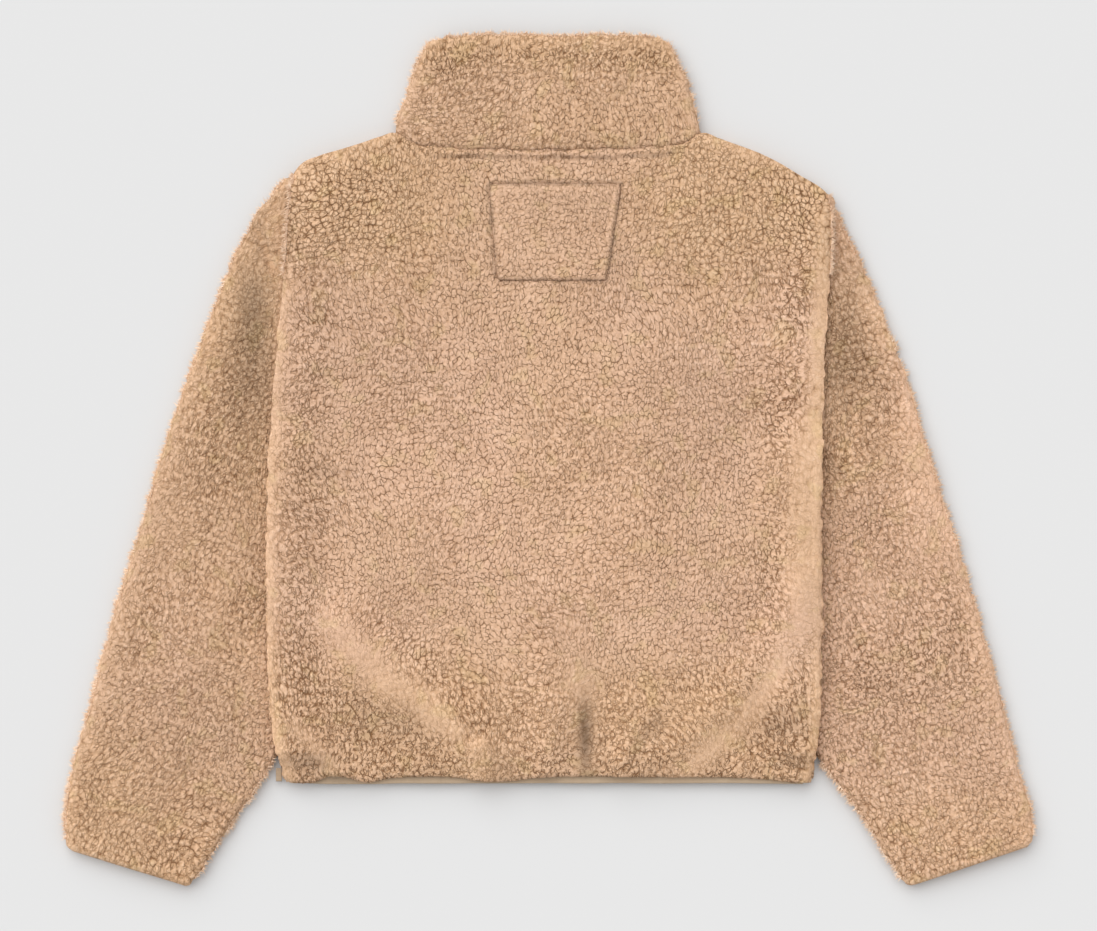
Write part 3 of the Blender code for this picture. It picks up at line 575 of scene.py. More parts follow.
class Graph:
    """A material's shader nodes, with short ways to add and join them."""

    def __init__(self, name: str) -> None:
        """Start a Principled material."""
        self.material = bpy.data.materials.new(name)
        self.material.use_nodes = True
        self.tree = self.material.node_tree
        self.shader = self.tree.nodes["Principled BSDF"]

    def add(self, kind: str, **inputs: object) -> bpy.types.Node:
        """Add a node and set its sockets or settings.

        Args:
            kind: The node's type.
            inputs: Values or sockets by name, with _ for a space, or settings of the node itself.

        Returns:
            The node.
        """
        node = self.tree.nodes.new(kind)
        for name, value in inputs.items():
            if hasattr(node, name):
                setattr(node, name, value)
                continue
            self.put(node.inputs[name.replace("_", " ")], value)
        return node

    def put(self, socket: bpy.types.NodeSocket, value: object) -> None:
        """Give a socket a value, or join another socket to it."""
        if isinstance(value, bpy.types.NodeSocket):
            self.tree.links.new(value, socket)
        else:
            socket.default_value = value

    def math(self, operation: str, first: object, second: object = 0.0,
             third: object = 0.0) -> bpy.types.NodeSocket:
        """The result of a sum on up to three values."""
        node = self.tree.nodes.new("ShaderNodeMath")
        node.operation = operation
        for socket, value in zip(node.inputs, (first, second, third)):
            self.put(socket, value)
        return node.outputs["Value"]

    def blend(self, share: object, low: object, high: object) -> bpy.types.NodeSocket:
        """The number a share of the way from low to high."""
        node = self.tree.nodes.new("ShaderNodeMix")
        for name, value in (("Factor", share), ("A", low), ("B", high)):
            self.put(node.inputs[name], value)
        return node.outputs["Result"]

    def tint(self, share: object, low: object, high: object, blend_type: str = "MIX") -> bpy.types.NodeSocket:
        """The colour a share of the way from low to high."""
        node = self.tree.nodes.new("ShaderNodeMix")
        node.data_type = "RGBA"
        node.blend_type = blend_type
        self.put(node.inputs["Factor"], share)
        colours = [socket for socket in node.inputs if socket.type == "RGBA"]
        for socket, value in zip(colours, (low, high)):
            self.put(socket, (*value, 1.0) if isinstance(value, tuple) else value)
        return [socket for socket in node.outputs if socket.type == "RGBA"][0]

    def vector(self, operation: str, *values: object) -> bpy.types.NodeSocket:
        """The result of a sum on vectors."""
        node = self.tree.nodes.new("ShaderNodeVectorMath")
        node.operation = operation
        for socket, value in zip(node.inputs, values):
            self.put(socket, value)
        return node.outputs["Vector"]

    def added(self, start: object, *terms: tuple[object, float]) -> object:
        """A start with values added to it, each by its weight."""
        for value, weight in terms:
            start = self.math("MULTIPLY_ADD", value, weight, start)
        return start

    def noise(self, place: object, scale: float, detail: float, dimensions: str = "2D",
              **inputs: object) -> bpy.types.Node:
        """A cloudy pattern."""
        return self.add("ShaderNodeTexNoise", noise_dimensions=dimensions, Vector=place, Scale=scale,
                        Detail=detail, **inputs)

    def bumped(self, height: object, strength: float, distance: float) -> bpy.types.NodeSocket:
        """The normal of a relief that is so strong and so deep, in metres."""
        node = self.add("ShaderNodeBump", Height=height, Strength=strength, Distance=distance)
        return node.outputs["Normal"]

    def surface(self, **inputs: object) -> bpy.types.Material:
        """Set the shader's sockets, by name with _ for a space, and hand back the material."""
        for name, value in inputs.items():
            self.put(self.shader.inputs[name.replace("_", " ")], value)
        return self.material

    def here(self) -> bpy.types.NodeSocket:
        """The place on the piece."""
        return self.add("ShaderNodeTexCoord").outputs["Object"]

    def reading(self, name: str) -> bpy.types.NodeSocket:
        """One of the mesh's own attributes."""
        return self.add("ShaderNodeAttribute", attribute_name=name).outputs["Fac"]

    def ranged(self, value: object, low: float, high: float) -> bpy.types.NodeSocket:
        """The value spread softly from 0 at low to 1 at high."""
        node = self.tree.nodes.new("ShaderNodeMapRange")
        node.interpolation_type = "SMOOTHSTEP"
        self.put(node.inputs["Value"], value)
        node.inputs["From Min"].default_value = low
        node.inputs["From Max"].default_value = high
        return node.outputs["Result"]


@dataclass(frozen=True)
class SherpaFinish:
    """Tan curly pile: raised clumps with short, broken crevices between them.

    Sizes are across and along the cloth in millimetres, a line is a crevice's width as a share of its
    clump, `warp` and `bump_depth` are in metres, and each light is how much its feature adds to the tone.
    The crevice colour, `sunk_light` and `pit_light` paint shade into the crevices and pits, and `dome_light`
    paints a highlight on the clumps' tops.
    """

    name: str = "tan_sherpa_pile"
    # painted shade: the darkest colour, laid in the crevices between the clumps
    crevice: Colour = (0.270, 0.130, 0.062)
    shadowed: Colour = (0.575, 0.342, 0.208)
    body: Colour = (0.820, 0.530, 0.364)
    tip: Colour = (0.970, 0.722, 0.555)
    golden: Colour = (1.0, 1.0, 0.90)
    olive: Colour = (0.95, 1.0, 0.86)
    small_size: Point = (3.3, 5.0)
    big_size: Point = (4.5, 5.625)
    streak_size: Point = (3.8, 9.0)
    fibre_size: Point = (1.2, 2.3)
    small_line: float = 0.135
    big_line: float = 0.16
    warp: float = 0.0022
    bump_depth: float = 0.0011
    dome_light: float = 0.16
    own_light: float = 0.07
    patch_light: float = 0.12
    fibre_light: float = 0.34
    sunk_light: float = -0.16
    pit_light: float = 0.55

    def stretched(self, graph: Graph, place: object, across: float, along: float) -> object:
        """The place on a pattern whose cells are so wide and long, in millimetres."""
        return graph.vector("MULTIPLY", place, (1.0 / (across * MM), 1.0 / (along * MM), 0.0))

    def cracks(self, graph: Graph, place: object, size: Point, line: float, torn: object) -> object:
        """How far each place is out of the crevices round clumps of one size, from 0 to 1."""
        rim = graph.add("ShaderNodeTexVoronoi", voronoi_dimensions="2D", feature="DISTANCE_TO_EDGE",
                        Scale=1.0, Vector=self.stretched(graph, place, *size))
        return graph.math("MAXIMUM", graph.ranged(rim.outputs["Distance"], 0.0, line), torn)

    def domes(self, graph: Graph, place: object, size: Point) -> tuple[object, object]:
        """How domed the clumps of one size are, and a colour of its own for each."""
        curl = graph.add("ShaderNodeTexVoronoi", voronoi_dimensions="2D", feature="F1", Scale=1.0,
                         Vector=self.stretched(graph, place, *size))
        away = curl.outputs["Distance"]
        dome = graph.math("MULTIPLY_ADD", graph.math("MULTIPLY", away, away), -1.0, 1.0)
        return dome, curl.outputs["Color"]

    def open_pile(self, graph: Graph, cloth: object, place: object, coarse: object) -> object:
        """How far each place is out of every crevice.

        Args:
            graph: The material's nodes.
            cloth: The place on the cloth.
            place: The same, stirred a little.
            coarse: How big the curls are, from 0 to 1.

        Returns:
            The share, from 0 in a crevice to 1 on a clump.
        """
        torn = graph.noise(cloth, 230.0, 1.0).outputs["Fac"]
        small = self.cracks(graph, place, self.small_size, self.small_line, graph.ranged(torn, 0.46, 0.62))
        small = graph.blend(graph.math("MULTIPLY_ADD", coarse, 0.22, 0.24), small, 1.0)
        whole = graph.math("MULTIPLY", graph.ranged(torn, 0.52, 0.68), 0.9)
        big = self.cracks(graph, place, self.big_size, self.big_line, whole)
        big = graph.blend(graph.math("MULTIPLY_ADD", coarse, 0.85, 0.15), 1.0, big)
        streaks = self.cracks(graph, place, self.streak_size, self.big_line, graph.ranged(torn, 0.47, 0.63))
        streaks = graph.blend(graph.reading("streaked"), 1.0, streaks)
        lowest = graph.math("MINIMUM", graph.math("MINIMUM", small, big), streaks)
        return graph.blend(graph.math("MULTIPLY", graph.reading("combed"), 0.85), lowest, 0.96)

    def coloured(self, graph: Graph, cloth: object, light: object) -> object:
        """The pile's colour.

        Args:
            graph: The material's nodes.
            cloth: The place on the cloth.
            light: How light each place is, from 0 to 1.

        Returns:
            The colour, yellower and darker where the mesh's attributes say so.
        """
        ramp = graph.add("ShaderNodeValToRGB", Fac=light)
        stops = ramp.color_ramp.elements
        stops[0].position, stops[0].color = 0.08, (*self.crevice, 1.0)
        stops[1].position, stops[1].color = 0.96, (*self.tip, 1.0)
        for position, colour in ((0.40, self.shadowed), (0.68, self.body)):
            stop = stops.new(position)
            stop.color = (*colour, 1.0)
        spots = graph.ranged(graph.noise(cloth, 46.0, 1.0).outputs["Fac"], 0.58, 0.74)
        # the shade reading holds the pile's tone together with painted shade in troughs, seams, grooves and
        # beside the body, and painted light on sideways rims
        shade = graph.reading("shade")
        grey = graph.add("ShaderNodeCombineColor", Red=shade, Green=shade, Blue=shade).outputs["Color"]
        colour = ramp.outputs["Color"]
        for share, filter_colour in ((graph.math("MULTIPLY", spots, 0.5), self.olive),
                                     (graph.reading("golden"), self.golden), (1.0, grey)):
            colour = graph.tint(share, colour, filter_colour, "MULTIPLY")
        return colour

    def material(self) -> bpy.types.Material:
        """Build the pile's shader."""
        graph = Graph(self.name)
        cloth = graph.add("ShaderNodeAttribute", attribute_name=PATTERN_PLACE).outputs["Vector"]
        stirred = graph.noise(cloth, 330.0, 2.0).outputs["Color"]
        place = graph.vector("MULTIPLY_ADD", stirred, (self.warp, self.warp, 0.0), cloth)
        coarse = graph.reading("coarse")
        height = self.open_pile(graph, cloth, place, coarse)
        dome, own = self.domes(graph, place, self.small_size)
        big_dome, _ = self.domes(graph, place, self.big_size)
        fibre = graph.noise(self.stretched(graph, place, *self.fibre_size), 1.0, 3.0, Roughness=0.7)
        rough = graph.math("SUBTRACT", fibre.outputs["Fac"], 0.5)
        high = graph.math("MULTIPLY", big_dome, coarse)
        relief = graph.added(height, (dome, 0.45), (high, 0.9), (rough, 1.3))
        tone = graph.add("ShaderNodeSeparateColor", Color=own).outputs["Red"]
        patches = graph.noise(cloth, 17.0, 3.0).outputs["Fac"]
        pits = graph.math("MULTIPLY", graph.math("SUBTRACT", big_dome, 0.82), coarse)
        # painted shade out of the clumps, in the sunk crevices and in the pits, and a painted highlight on
        # the domes; the cells' own tone, the patches and the fibres are the pile's colour
        light = graph.added(
            graph.math("MULTIPLY_ADD", height, 0.56, 0.11),
            (graph.math("SUBTRACT", dome, 0.8), self.dome_light),
            (graph.math("SUBTRACT", tone, 0.5), self.own_light),
            (graph.math("SUBTRACT", patches, 0.5), self.patch_light),
            (rough, self.fibre_light),
            (graph.math("SUBTRACT", 1.0, graph.reading("crevice")), self.sunk_light),
            (pits, self.pit_light))
        return graph.surface(Base_Color=self.coloured(graph, cloth, light), Roughness=0.95,
                             Specular_IOR_Level=0.12, Sheen_Weight=0.20, Sheen_Roughness=0.5,
                             Sheen_Tint=(1.0, 0.82, 0.64, 1.0),
                             Normal=graph.bumped(relief, 1.0, self.bump_depth))


@dataclass(frozen=True)
class FibreFinish:
    """Pale loose fibres at the pile's edges."""

    name: str = "loose_pile_fibres"
    colour: Colour = (0.900, 0.700, 0.530)
    darker: Colour = (0.760, 0.550, 0.390)

    def material(self) -> bpy.types.Material:
        """Build the fibres' shader."""
        graph = Graph(self.name)
        mottle = graph.noise(graph.here(), 260.0, 1.0, "3D").outputs["Fac"]
        colour = graph.tint(graph.ranged(mottle, 0.4, 0.6), self.darker, self.colour)
        return graph.surface(Base_Color=colour, Roughness=1.0, Specular_IOR_Level=0.05, Sheen_Weight=0.25,
                             Sheen_Roughness=0.5, Sheen_Tint=(1.0, 0.85, 0.70, 1.0))


@dataclass(frozen=True)
class WovenFinish:
    """A smooth matt binding or tape with fine ribs, in ribs a metre along one axis."""

    name: str
    colour: Colour
    # the darker colour: painted shade between the ribs, and the worn patches
    rib: Colour
    ribs: float
    along: int = 0
    roughness: float = 0.85
    depth: float = 0.00025

    def material(self) -> bpy.types.Material:
        """Build the tape's shader."""
        graph = Graph(self.name)
        here = graph.here()
        turned = graph.add("ShaderNodeSeparateXYZ", Vector=here).outputs[self.along]
        ribbed = graph.math("SINE", graph.math("MULTIPLY", turned, self.ribs * math.tau))
        ribbed = graph.math("MULTIPLY_ADD", ribbed, 0.5, 0.5)
        grain = graph.noise(here, 1400.0, 2.0, "3D").outputs["Fac"]
        worn = graph.noise(here, 60.0, 3.0, "3D").outputs["Fac"]
        # darker where the ribs are low: painted shade in their valleys; the grain and the worn patches are
        # the tape's own colour
        share = graph.math("MULTIPLY_ADD", ribbed, 0.35, graph.math("MULTIPLY", grain, 0.5))
        colour = graph.tint(share, self.rib, self.colour)
        colour = graph.tint(graph.math("MULTIPLY", graph.ranged(worn, 0.4, 0.7), 0.35), colour, self.rib)
        relief = graph.math("MULTIPLY_ADD", grain, 0.4, ribbed)
        return graph.surface(Base_Color=colour, Roughness=self.roughness, Specular_IOR_Level=0.25,
                             Normal=graph.bumped(relief, 0.6, self.depth))


@dataclass(frozen=True)
class CastFinish:
    """A cast or moulded surface with a slight grain."""

    name: str
    colour: Colour
    metallic: float
    roughness: float
    grain: float = 500.0

    def material(self) -> bpy.types.Material:
        """Build the surface's shader."""
        graph = Graph(self.name)
        grain = graph.noise(graph.here(), self.grain, 4.0, "3D").outputs["Fac"]
        darker = tuple(0.7 * channel for channel in self.colour)
        return graph.surface(Base_Color=graph.tint(grain, darker, self.colour), Metallic=self.metallic,
                             Roughness=graph.math("MULTIPLY_ADD", grain, 0.25, self.roughness),
                             Normal=graph.bumped(grain, 0.25, 0.0002))


def dressed(piece: bpy.types.Object, material: bpy.types.Material, slot: str,
            *nodes: str) -> bpy.types.Object:
    """Give a piece its material and its body, and hide the CAD nodes that it stands for."""
    piece.data.materials.clear()
    piece.data.materials.append(material)
    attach(piece, "root")
    if nodes:
        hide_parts(*nodes)
    LOG.info("%s: %d faces", piece.name, len(piece.data.polygons))
    return piece


# --- rolled and folded edges ---------------------------------------------------------------------


def rolled(count: int) -> tuple[Array, Array]:
    """A rolled edge, from the edge to the flat.

    Args:
        count: How many steps go round the roll.

    Returns:
        The share of its reach inwards, and the share of its drop.
    """
    turn = steps(count, 0.0, math.pi / 2.0)
    return 1.0 - np.cos(turn), 1.0 - np.sin(turn)


@dataclass(frozen=True)
class Outline:
    """The body's outline in the tables that the pattern is cut from, in millimetres."""

    sides: tuple = (  # height, left, right
        (-277.8, -225.3, 226.2), (-240.8, -234.8, 231.3), (-154.8, -240.8, 234.8),
        (-34.4, -240.8, 234.8), (51.6, -236.5, 236.5), (120.4, -230.5, 239.1),
        (189.2, -224.5, 243.4), (226.2, -221.9, 242.5), (244.2, -220.2, 242.5))
    top: tuple = (  # across, height
        (-220.2, 244.2), (-213.3, 252.8), (-196.1, 261.4), (-178.9, 266.6), (-161.7, 271.8),
        (-144.5, 277.8), (-131.6, 281.2), (-118.7, 274.6), (-105.8, 271.0), (-84.3, 268.4),
        (-45.0, 267.2), (45.0, 267.2), (84.3, 268.4), (104.9, 271.0), (118.7, 274.6),
        (130.7, 281.2), (147.9, 276.1), (165.1, 270.0), (182.3, 263.2), (199.5, 254.6),
        (216.7, 244.2), (233.9, 233.9), (242.5, 226.2))
    neck: Point = (-131.6, 130.7)
    front_neck: tuple = ((0.0, 245.0), (45.0, 247.0), (85.0, 254.5), (112.0, 266.0), (131.6, 281.2))
    hem: tuple = (
        (-225.3, -276.9), (-192.0, -276.1), (-183.2, -272.2), (-166.0, -272.6), (-151.4, -276.9),
        (-127.3, -273.5), (-92.9, -272.0), (-62.8, -273.8), (-49.9, -275.6), (-15.5, -275.2),
        (-2.6, -273.3), (44.7, -272.0), (113.5, -272.6), (182.3, -273.5), (216.7, -276.1),
        (226.2, -277.4))
    front_hem: float = -274.0
    underarm: float = -17.2
    back_top: float = 13.8
    tuck_lift: float = 12.1
    rims: tuple = (  # height on the body, height of the rim, share of the lift
        (-277.8, 13.8, 0.0), (-264.0, 15.2, 0.0), (-250.0, 25.8, 1.0), (-232.0, 24.8, 1.0),
        (-20.0, 24.8, 1.0), (8.0, 24.4, 1.0), (36.0, 18.4, 0.0))
    armhole: tuple = (  # below the shoulder's tip, tuck, height of the rim
        (0.0, -2.4, 14.0), (8.0, -2.2, 15.8), (22.0, -0.8, 17.4), (40.0, 6.0, 18.4),
        (80.0, 10.0, 18.4), (185.0, 10.0, 18.4), (215.0, 10.0, 30.0))
    side_gap: float = 1.8
    roll_reach: float = 6.3

    def edge(self, y: Array, side: int) -> Array:
        """The body's outline at a height, on the left (-1) or right (+1)."""
        return curve(self.sides, 1 if side < 0 else 2, y)

    def below_tip(self, y: Array, side: int) -> Array:
        """How far a height lies below a shoulder's tip."""
        return (self.top[0][1] if side < 0 else self.top[-1][1]) - y

    def rim(self, y: Array, side: int) -> Array:
        """The height of the back's rim."""
        return np.minimum(straight(self.rims, 1, y), straight(self.armhole, 2, self.below_tip(y, side)))

    def tuck(self, y: Array, side: int) -> Array:
        """How deep under the back's rim the sleeve's end lies."""
        return straight(self.armhole, 1, self.below_tip(y, side))

    def lift(self, y: Array) -> Array:
        """How high the tucked sleeves carry the fronts' sides."""
        return self.tuck_lift * straight(self.rims, 2, y)

    def ragged(self, x: Array) -> Array:
        """How the pile's edge wavers along the collar's seam."""
        at_neck = smooth((self.neck[1] - np.abs(x)) / 20.0)
        return at_neck * (0.9 * waver(x, 7.5, 63) + 0.5 * waver(x, 3.7, 64))

    def curl(self, y: Array, side: int, at_armhole: float) -> Array:
        """How far a side edge turns towards the seam between back and front."""
        closing = (self.rim(y, side) - self.lift(y) - self.side_gap) / 2.0
        opened = smooth((y - self.underarm + 4.0) / 20.0) * smooth((self.below_tip(y, side) - 4.0) / 12.0)
        return mix(closing, at_armhole, opened)

    def shoulder(self, x: Array, inwards: Array) -> Array:
        """1 along the shoulders, fading to 0 at the neck and at the shoulder's tip."""
        outside = np.maximum(self.neck[0] - x, x - self.neck[1])
        return smooth(outside / 44.0) * smooth((inwards - self.roll_reach) / 20.0)

    def inside_edge(self, x: Array, y: Array) -> Array:
        """How far each place is inside the nearer side of the body."""
        return np.minimum(x - self.edge(y, -1), self.edge(y, 1) - x)


OUTLINE = Outline()


# --- the back ------------------------------------------------------------------------------------


@dataclass
class BackPanel:
    """The back of the jacket: one sheet rolled over the shoulders and the sides."""

    outline: Outline = OUTLINE
    wall: float = 5.0
    across: int = 252
    along: int = 302
    roll_steps: int = 6
    roll_reach: float = 7.0
    shoulder_seam: float = 7.2
    shoulder_gap: float = 2.8
    rim_level: float = 12.0
    rim_slope: float = 46.0
    drape: Drape = field(default_factory=lambda: Drape((
        Fold((-208, -110), (-138, -184), (-60, -240), 8, 18),
        Fold((-210, -112), (-164, -178), (-66, -242), 0, 13, 0.95, 0.35),
        Fold((-66, -236), (-54, -256), (-52, -284), 6, 12, 0.3),
        Fold((-190, -200), (-136, -236), (-80, -256), -2.4, 20),
        Fold((-232, -205), (-200, -244), (-172, -280), 5, 12),
        Fold((-226, -214), (-206, -242), (-180, -270), 0, 7, 0.6),
        Fold((226, -70), (206, -185), (92, -256), 7.5, 18),
        Fold((229, -80), (210, -214), (106, -270), 0, 12, 0.9),
        Fold((216, -214), (190, -232), (160, -262), -2.4, 15),
        Fold((100, -200), (78, -232), (56, -266), 3.4, 9),
        Fold((14, -130), (22, -160), (28, -205), 0, 14, 0.4),
        Fold((34, -165), (34, -225), (30, -280), -2.5, 11, 0.45),
        Fold((-2, -186), (4, -240), (-2, -284), 4.6, 13),
        Fold((70, -186), (62, -240), (66, -284), 4.2, 12),
        Fold((-206, -8), (-184, -14), (-160, -18), -1.4, 6),
    )))
    clumps: Drape = field(default_factory=lambda: Drape((
        Fold((-176, -104), (-112, -168), (-40, -240), 0, 14, 0.8),
        Fold((204, -100), (186, -165), (84, -248), 0, 12, 0.7),
        Fold((-24, -180), (-18, -225), (-20, -275), 0, 16, 0.4),
        Fold((70, -180), (60, -225), (62, -275), 0, 14, 0.3),
        Fold((-222, -160), (-196, -215), (-130, -262), 0, 12, 0.7),
        Fold((216, -236), (190, -255), (150, -268), 0, 12, 0.6),
    )))
    topstitch: tuple = ((-108.0, 261.5), (-80.0, 259.6), (0.0, 258.9), (60.0, 259.4), (100.0, 262.0),
                        (124.0, 267.0))
    stitch_depth: float = 2.6
    stitch_width: float = 1.9
    tones_and_shade: tuple = (
        ToneAndShade((-136, 200), (85, 48), -0.05), ToneAndShade((161, 200), (80, 48), -0.06),
        ToneAndShade((-170, 103), (60, 60), -0.06), ToneAndShade((131, 60), (60, 60), -0.05),
        ToneAndShade((-140, -226), (36, 20), -0.16), ToneAndShade((-190, -180), (26, 60), 0.05),
        ToneAndShade((32, -238), (6.5, 34), -0.50), ToneAndShade((32, -232), (18, 40), -0.14),
        ToneAndShade((202, -228), (24, 18), -0.22), ToneAndShade((-198, -260), (14, 10), -0.18),
        ToneAndShade((5, -30), (110, 90), 0.02), ToneAndShade((-186, -14), (20, 9), -0.08),
        ToneAndShade((-40, -268), (12, 14), -0.12), ToneAndShade((95, -230), (15, 11), -0.18),
        ToneAndShade((96, -266), (16, 10), -0.10), ToneAndShade((-100, -262), (26, 8), -0.08),
    )

    def stitched(self, x: Array, y: Array) -> Array:
        """How far each place lies in the uneven stitched line below the collar, from 0 to 1."""
        line = straight(self.topstitch, 1, x) + 0.9 * waver(x, 13.0, 67)
        ends = smooth((x - self.topstitch[0][0]) / 16.0) * smooth((self.topstitch[-1][0] - x) / 30.0)
        depth = 0.75 + 0.25 * waver(x, 9.0, 68)
        return depth * ends * bell((y - line) / self.stitch_width)

    def uneven(self, x: Array, y: Array, z: Array) -> Array:
        """The height with the slow unevenness of cloth that was laid by hand."""
        return z + 0.5 * wander(x, y, 47.0, 3) + 0.35 * wander(x, y, 23.0, 4)

    def face(self, x: Array, y: Array) -> Array:
        """The height of the outer face away from its rolled edges."""
        deepest = -2.5 * smooth((y + 264.0) / 14.0)
        height = self.outline.back_top + np.maximum(self.drape.height(x, y), deepest)
        for side in (-1, 1):
            inwards = np.abs(self.outline.edge(y, side) - x)
            on_rim = 1.0 - smooth((inwards - self.rim_level) / self.rim_slope)
            height = height + (self.outline.rim(y, side) - self.outline.back_top) * on_rim
        return height

    def sheet(self, patch: "BackPatch") -> Sheet:
        """Lay the back out on its grid.

        Args:
            patch: The patch, which the cloth under it is pressed down by.

        Returns:
            The sheet's outer face.
        """
        outline = self.outline
        roll_in, roll_drop = rolled(self.roll_steps)
        middle = steps(self.across)[1:-1]
        flat = np.full(middle.shape, 1.0)
        inwards = np.concatenate([roll_in, flat, roll_in[::-1]]) * outline.roll_reach
        side_drop = np.concatenate([roll_drop, 0.0 * flat, roll_drop[::-1]])
        across = np.concatenate([0.0 * roll_in, middle, 0.0 * roll_in + 1.0])
        nominal = mix(outline.top[0][0] + inwards, outline.top[-1][0] - inwards, across)
        top = curve(outline.top, 1, nominal) - 0.1 + outline.ragged(nominal)
        hem = curve(outline.hem, 1, nominal)
        shoulder = outline.shoulder(nominal, inwards)

        climb = steps(self.along)[:-1, None]
        lower = mix(hem[None], (top - self.roll_reach)[None], climb)
        turn = steps(self.roll_steps, 1.0, 0.0)[:, None]
        over_in, over_drop = roll_in[::-1][:, None], roll_drop[::-1][:, None]
        upper = top[None] - self.roll_reach * mix(turn, over_in, shoulder[None])
        y = np.concatenate([lower, upper])
        drop = np.concatenate([0.0 * lower, over_drop * shoulder[None] ** 3])
        x = mix(outline.edge(y, -1) + inwards[None], outline.edge(y, 1) - inwards[None], across[None])
        z = self.face(x, y)
        z = z - (z - self.shoulder_seam - self.shoulder_gap / 2.0) * drop
        sides = np.where(across < 0.5, outline.curl(y, -1, 2.0), outline.curl(y, 1, 2.0))
        z = z - sides * side_drop[None]

        from_seam = top[None] - y
        at_neck = (1.0 - shoulder[None]) * smooth((outline.inside_edge(x, y) - 60.0) / 20.0)
        z = z - 1.7 * (1.0 - smooth(from_seam / 3.6)) * at_neck
        from_hem = y - hem[None]
        z = z - 1.6 * (1.0 - smooth(from_hem / 3.5))
        strip = smooth((y - straight(self.topstitch, 1, x)) / 2.5) * at_neck
        z = z + 0.8 * wander(x, 0.6 * y, 6.5, 66) * strip - self.stitch_depth * self.stitched(x, y)
        z = z - patch.sunk(x, y)
        return Sheet(np.stack([x, y, self.uneven(x, y, z)], axis=2), Facing.UP)

    def pile(self, sheet: Sheet, patch: "BackPatch") -> Pile:
        """The back's pile: small in the middle, big and tangled by the shoulders, folds and hem."""
        x, y = sheet.ground
        inside = self.outline.inside_edge(x, y)
        left = smooth((0.0 - x) / 30.0)
        rim = bell(np.maximum(inside - 2.0, 0.0) / 7.5) * smooth((190.0 - y) / 60.0)
        low_down = smooth((70.0 - y) / 90.0)
        ridge = bell((inside - mix(7.0, 17.0, low_down)) / mix(8.0, 15.0, low_down)) * (1.0 - left)
        ridge = ridge * smooth((226.0 - y) / 20.0) * smooth((y + 160.0) / 60.0)
        from_top = curve(self.outline.top, 1, x) - y
        shoulder = bell(np.maximum(from_top, 0.0) / 9.0) * smooth((np.abs(x) - 120.0) / 20.0)
        combed = self.drape.combed(x, y) + 0.75 * rim + 0.85 * ridge + 0.5 * shoulder
        combed = capped(combed + 0.22 * wander(x, y, 13.0, 25) * smooth(combed / 0.3))
        low = smooth((-130.0 - y) / 90.0)
        high = smooth((y - 110.0) / 90.0) * smooth((np.abs(x) - 50.0) / 80.0)
        near_side = smooth((60.0 - inside) / 50.0)
        coarse = 0.05 + 0.12 * low + 0.55 * high + 0.22 * near_side + 0.20 * wander(x, y, 55.0, 21)
        coarse = coarse + 0.6 * self.clumps.combed(x, y)
        coarse = capped(coarse)
        band = bell((inside - 30.0) / 24.0) * smooth((210.0 - y) / 60.0)
        hanging = smooth((-150.0 - y) / 60.0)
        at_hem = smooth((-246.0 - y) / 20.0)
        streaked = 0.8 * band + 0.6 * hanging + 0.5 * smooth(0.4 + wander(x, y, 45.0, 26))
        streaked = np.clip(streaked - 0.5 * high, 0.0, 0.95)
        golden = 0.12 + 0.4 * shoulder + 0.6 * high + 0.6 * low + 0.3 * smooth((y - 150.0) / 60.0)
        golden = capped(golden + 0.4 * rim + 0.4 * ridge + 0.25 * wander(x, y, 70.0, 24))
        # painted shade in the folds' troughs
        trough = capped(-self.drape.height(x, y) / 2.4)
        # painted shade on the steep rims by the armholes, to take back their painted light
        at_armhole = bell(np.maximum(inside, 0.0) / 5.0) * smooth((y - 140.0) / 40.0)
        at_armhole = at_armhole * smooth((246.0 - y) / 12.0)
        coarse = np.maximum(coarse, 0.9 * at_armhole)
        seam = (1.0 - smooth(from_top / 2.5)) * smooth((112.0 - np.abs(x)) / 20.0)
        # painted shade in the troughs, the stitched line, the collar's seam, the groove round the patch and
        # the armhole rims, with the pile's tones
        shade = 1.0 + toned_and_shaded(self.tones_and_shade, x, y) - 0.05 * trough + 0.03 * combed + 0.08 * coarse
        shade = shade - 0.03 * smooth((y - 90.0) / 90.0) - 0.05 * at_hem - 0.42 * self.stitched(x, y)
        shade = shade - 0.16 * seam - 0.28 * patch.groove(x, y) - 0.10 * ridge - 0.17 * at_armhole
        tall = mix(1.1, 2.5, coarse)
        return Pile(coarse, combed, streaked, golden, shade, tall, 100, 4.0)


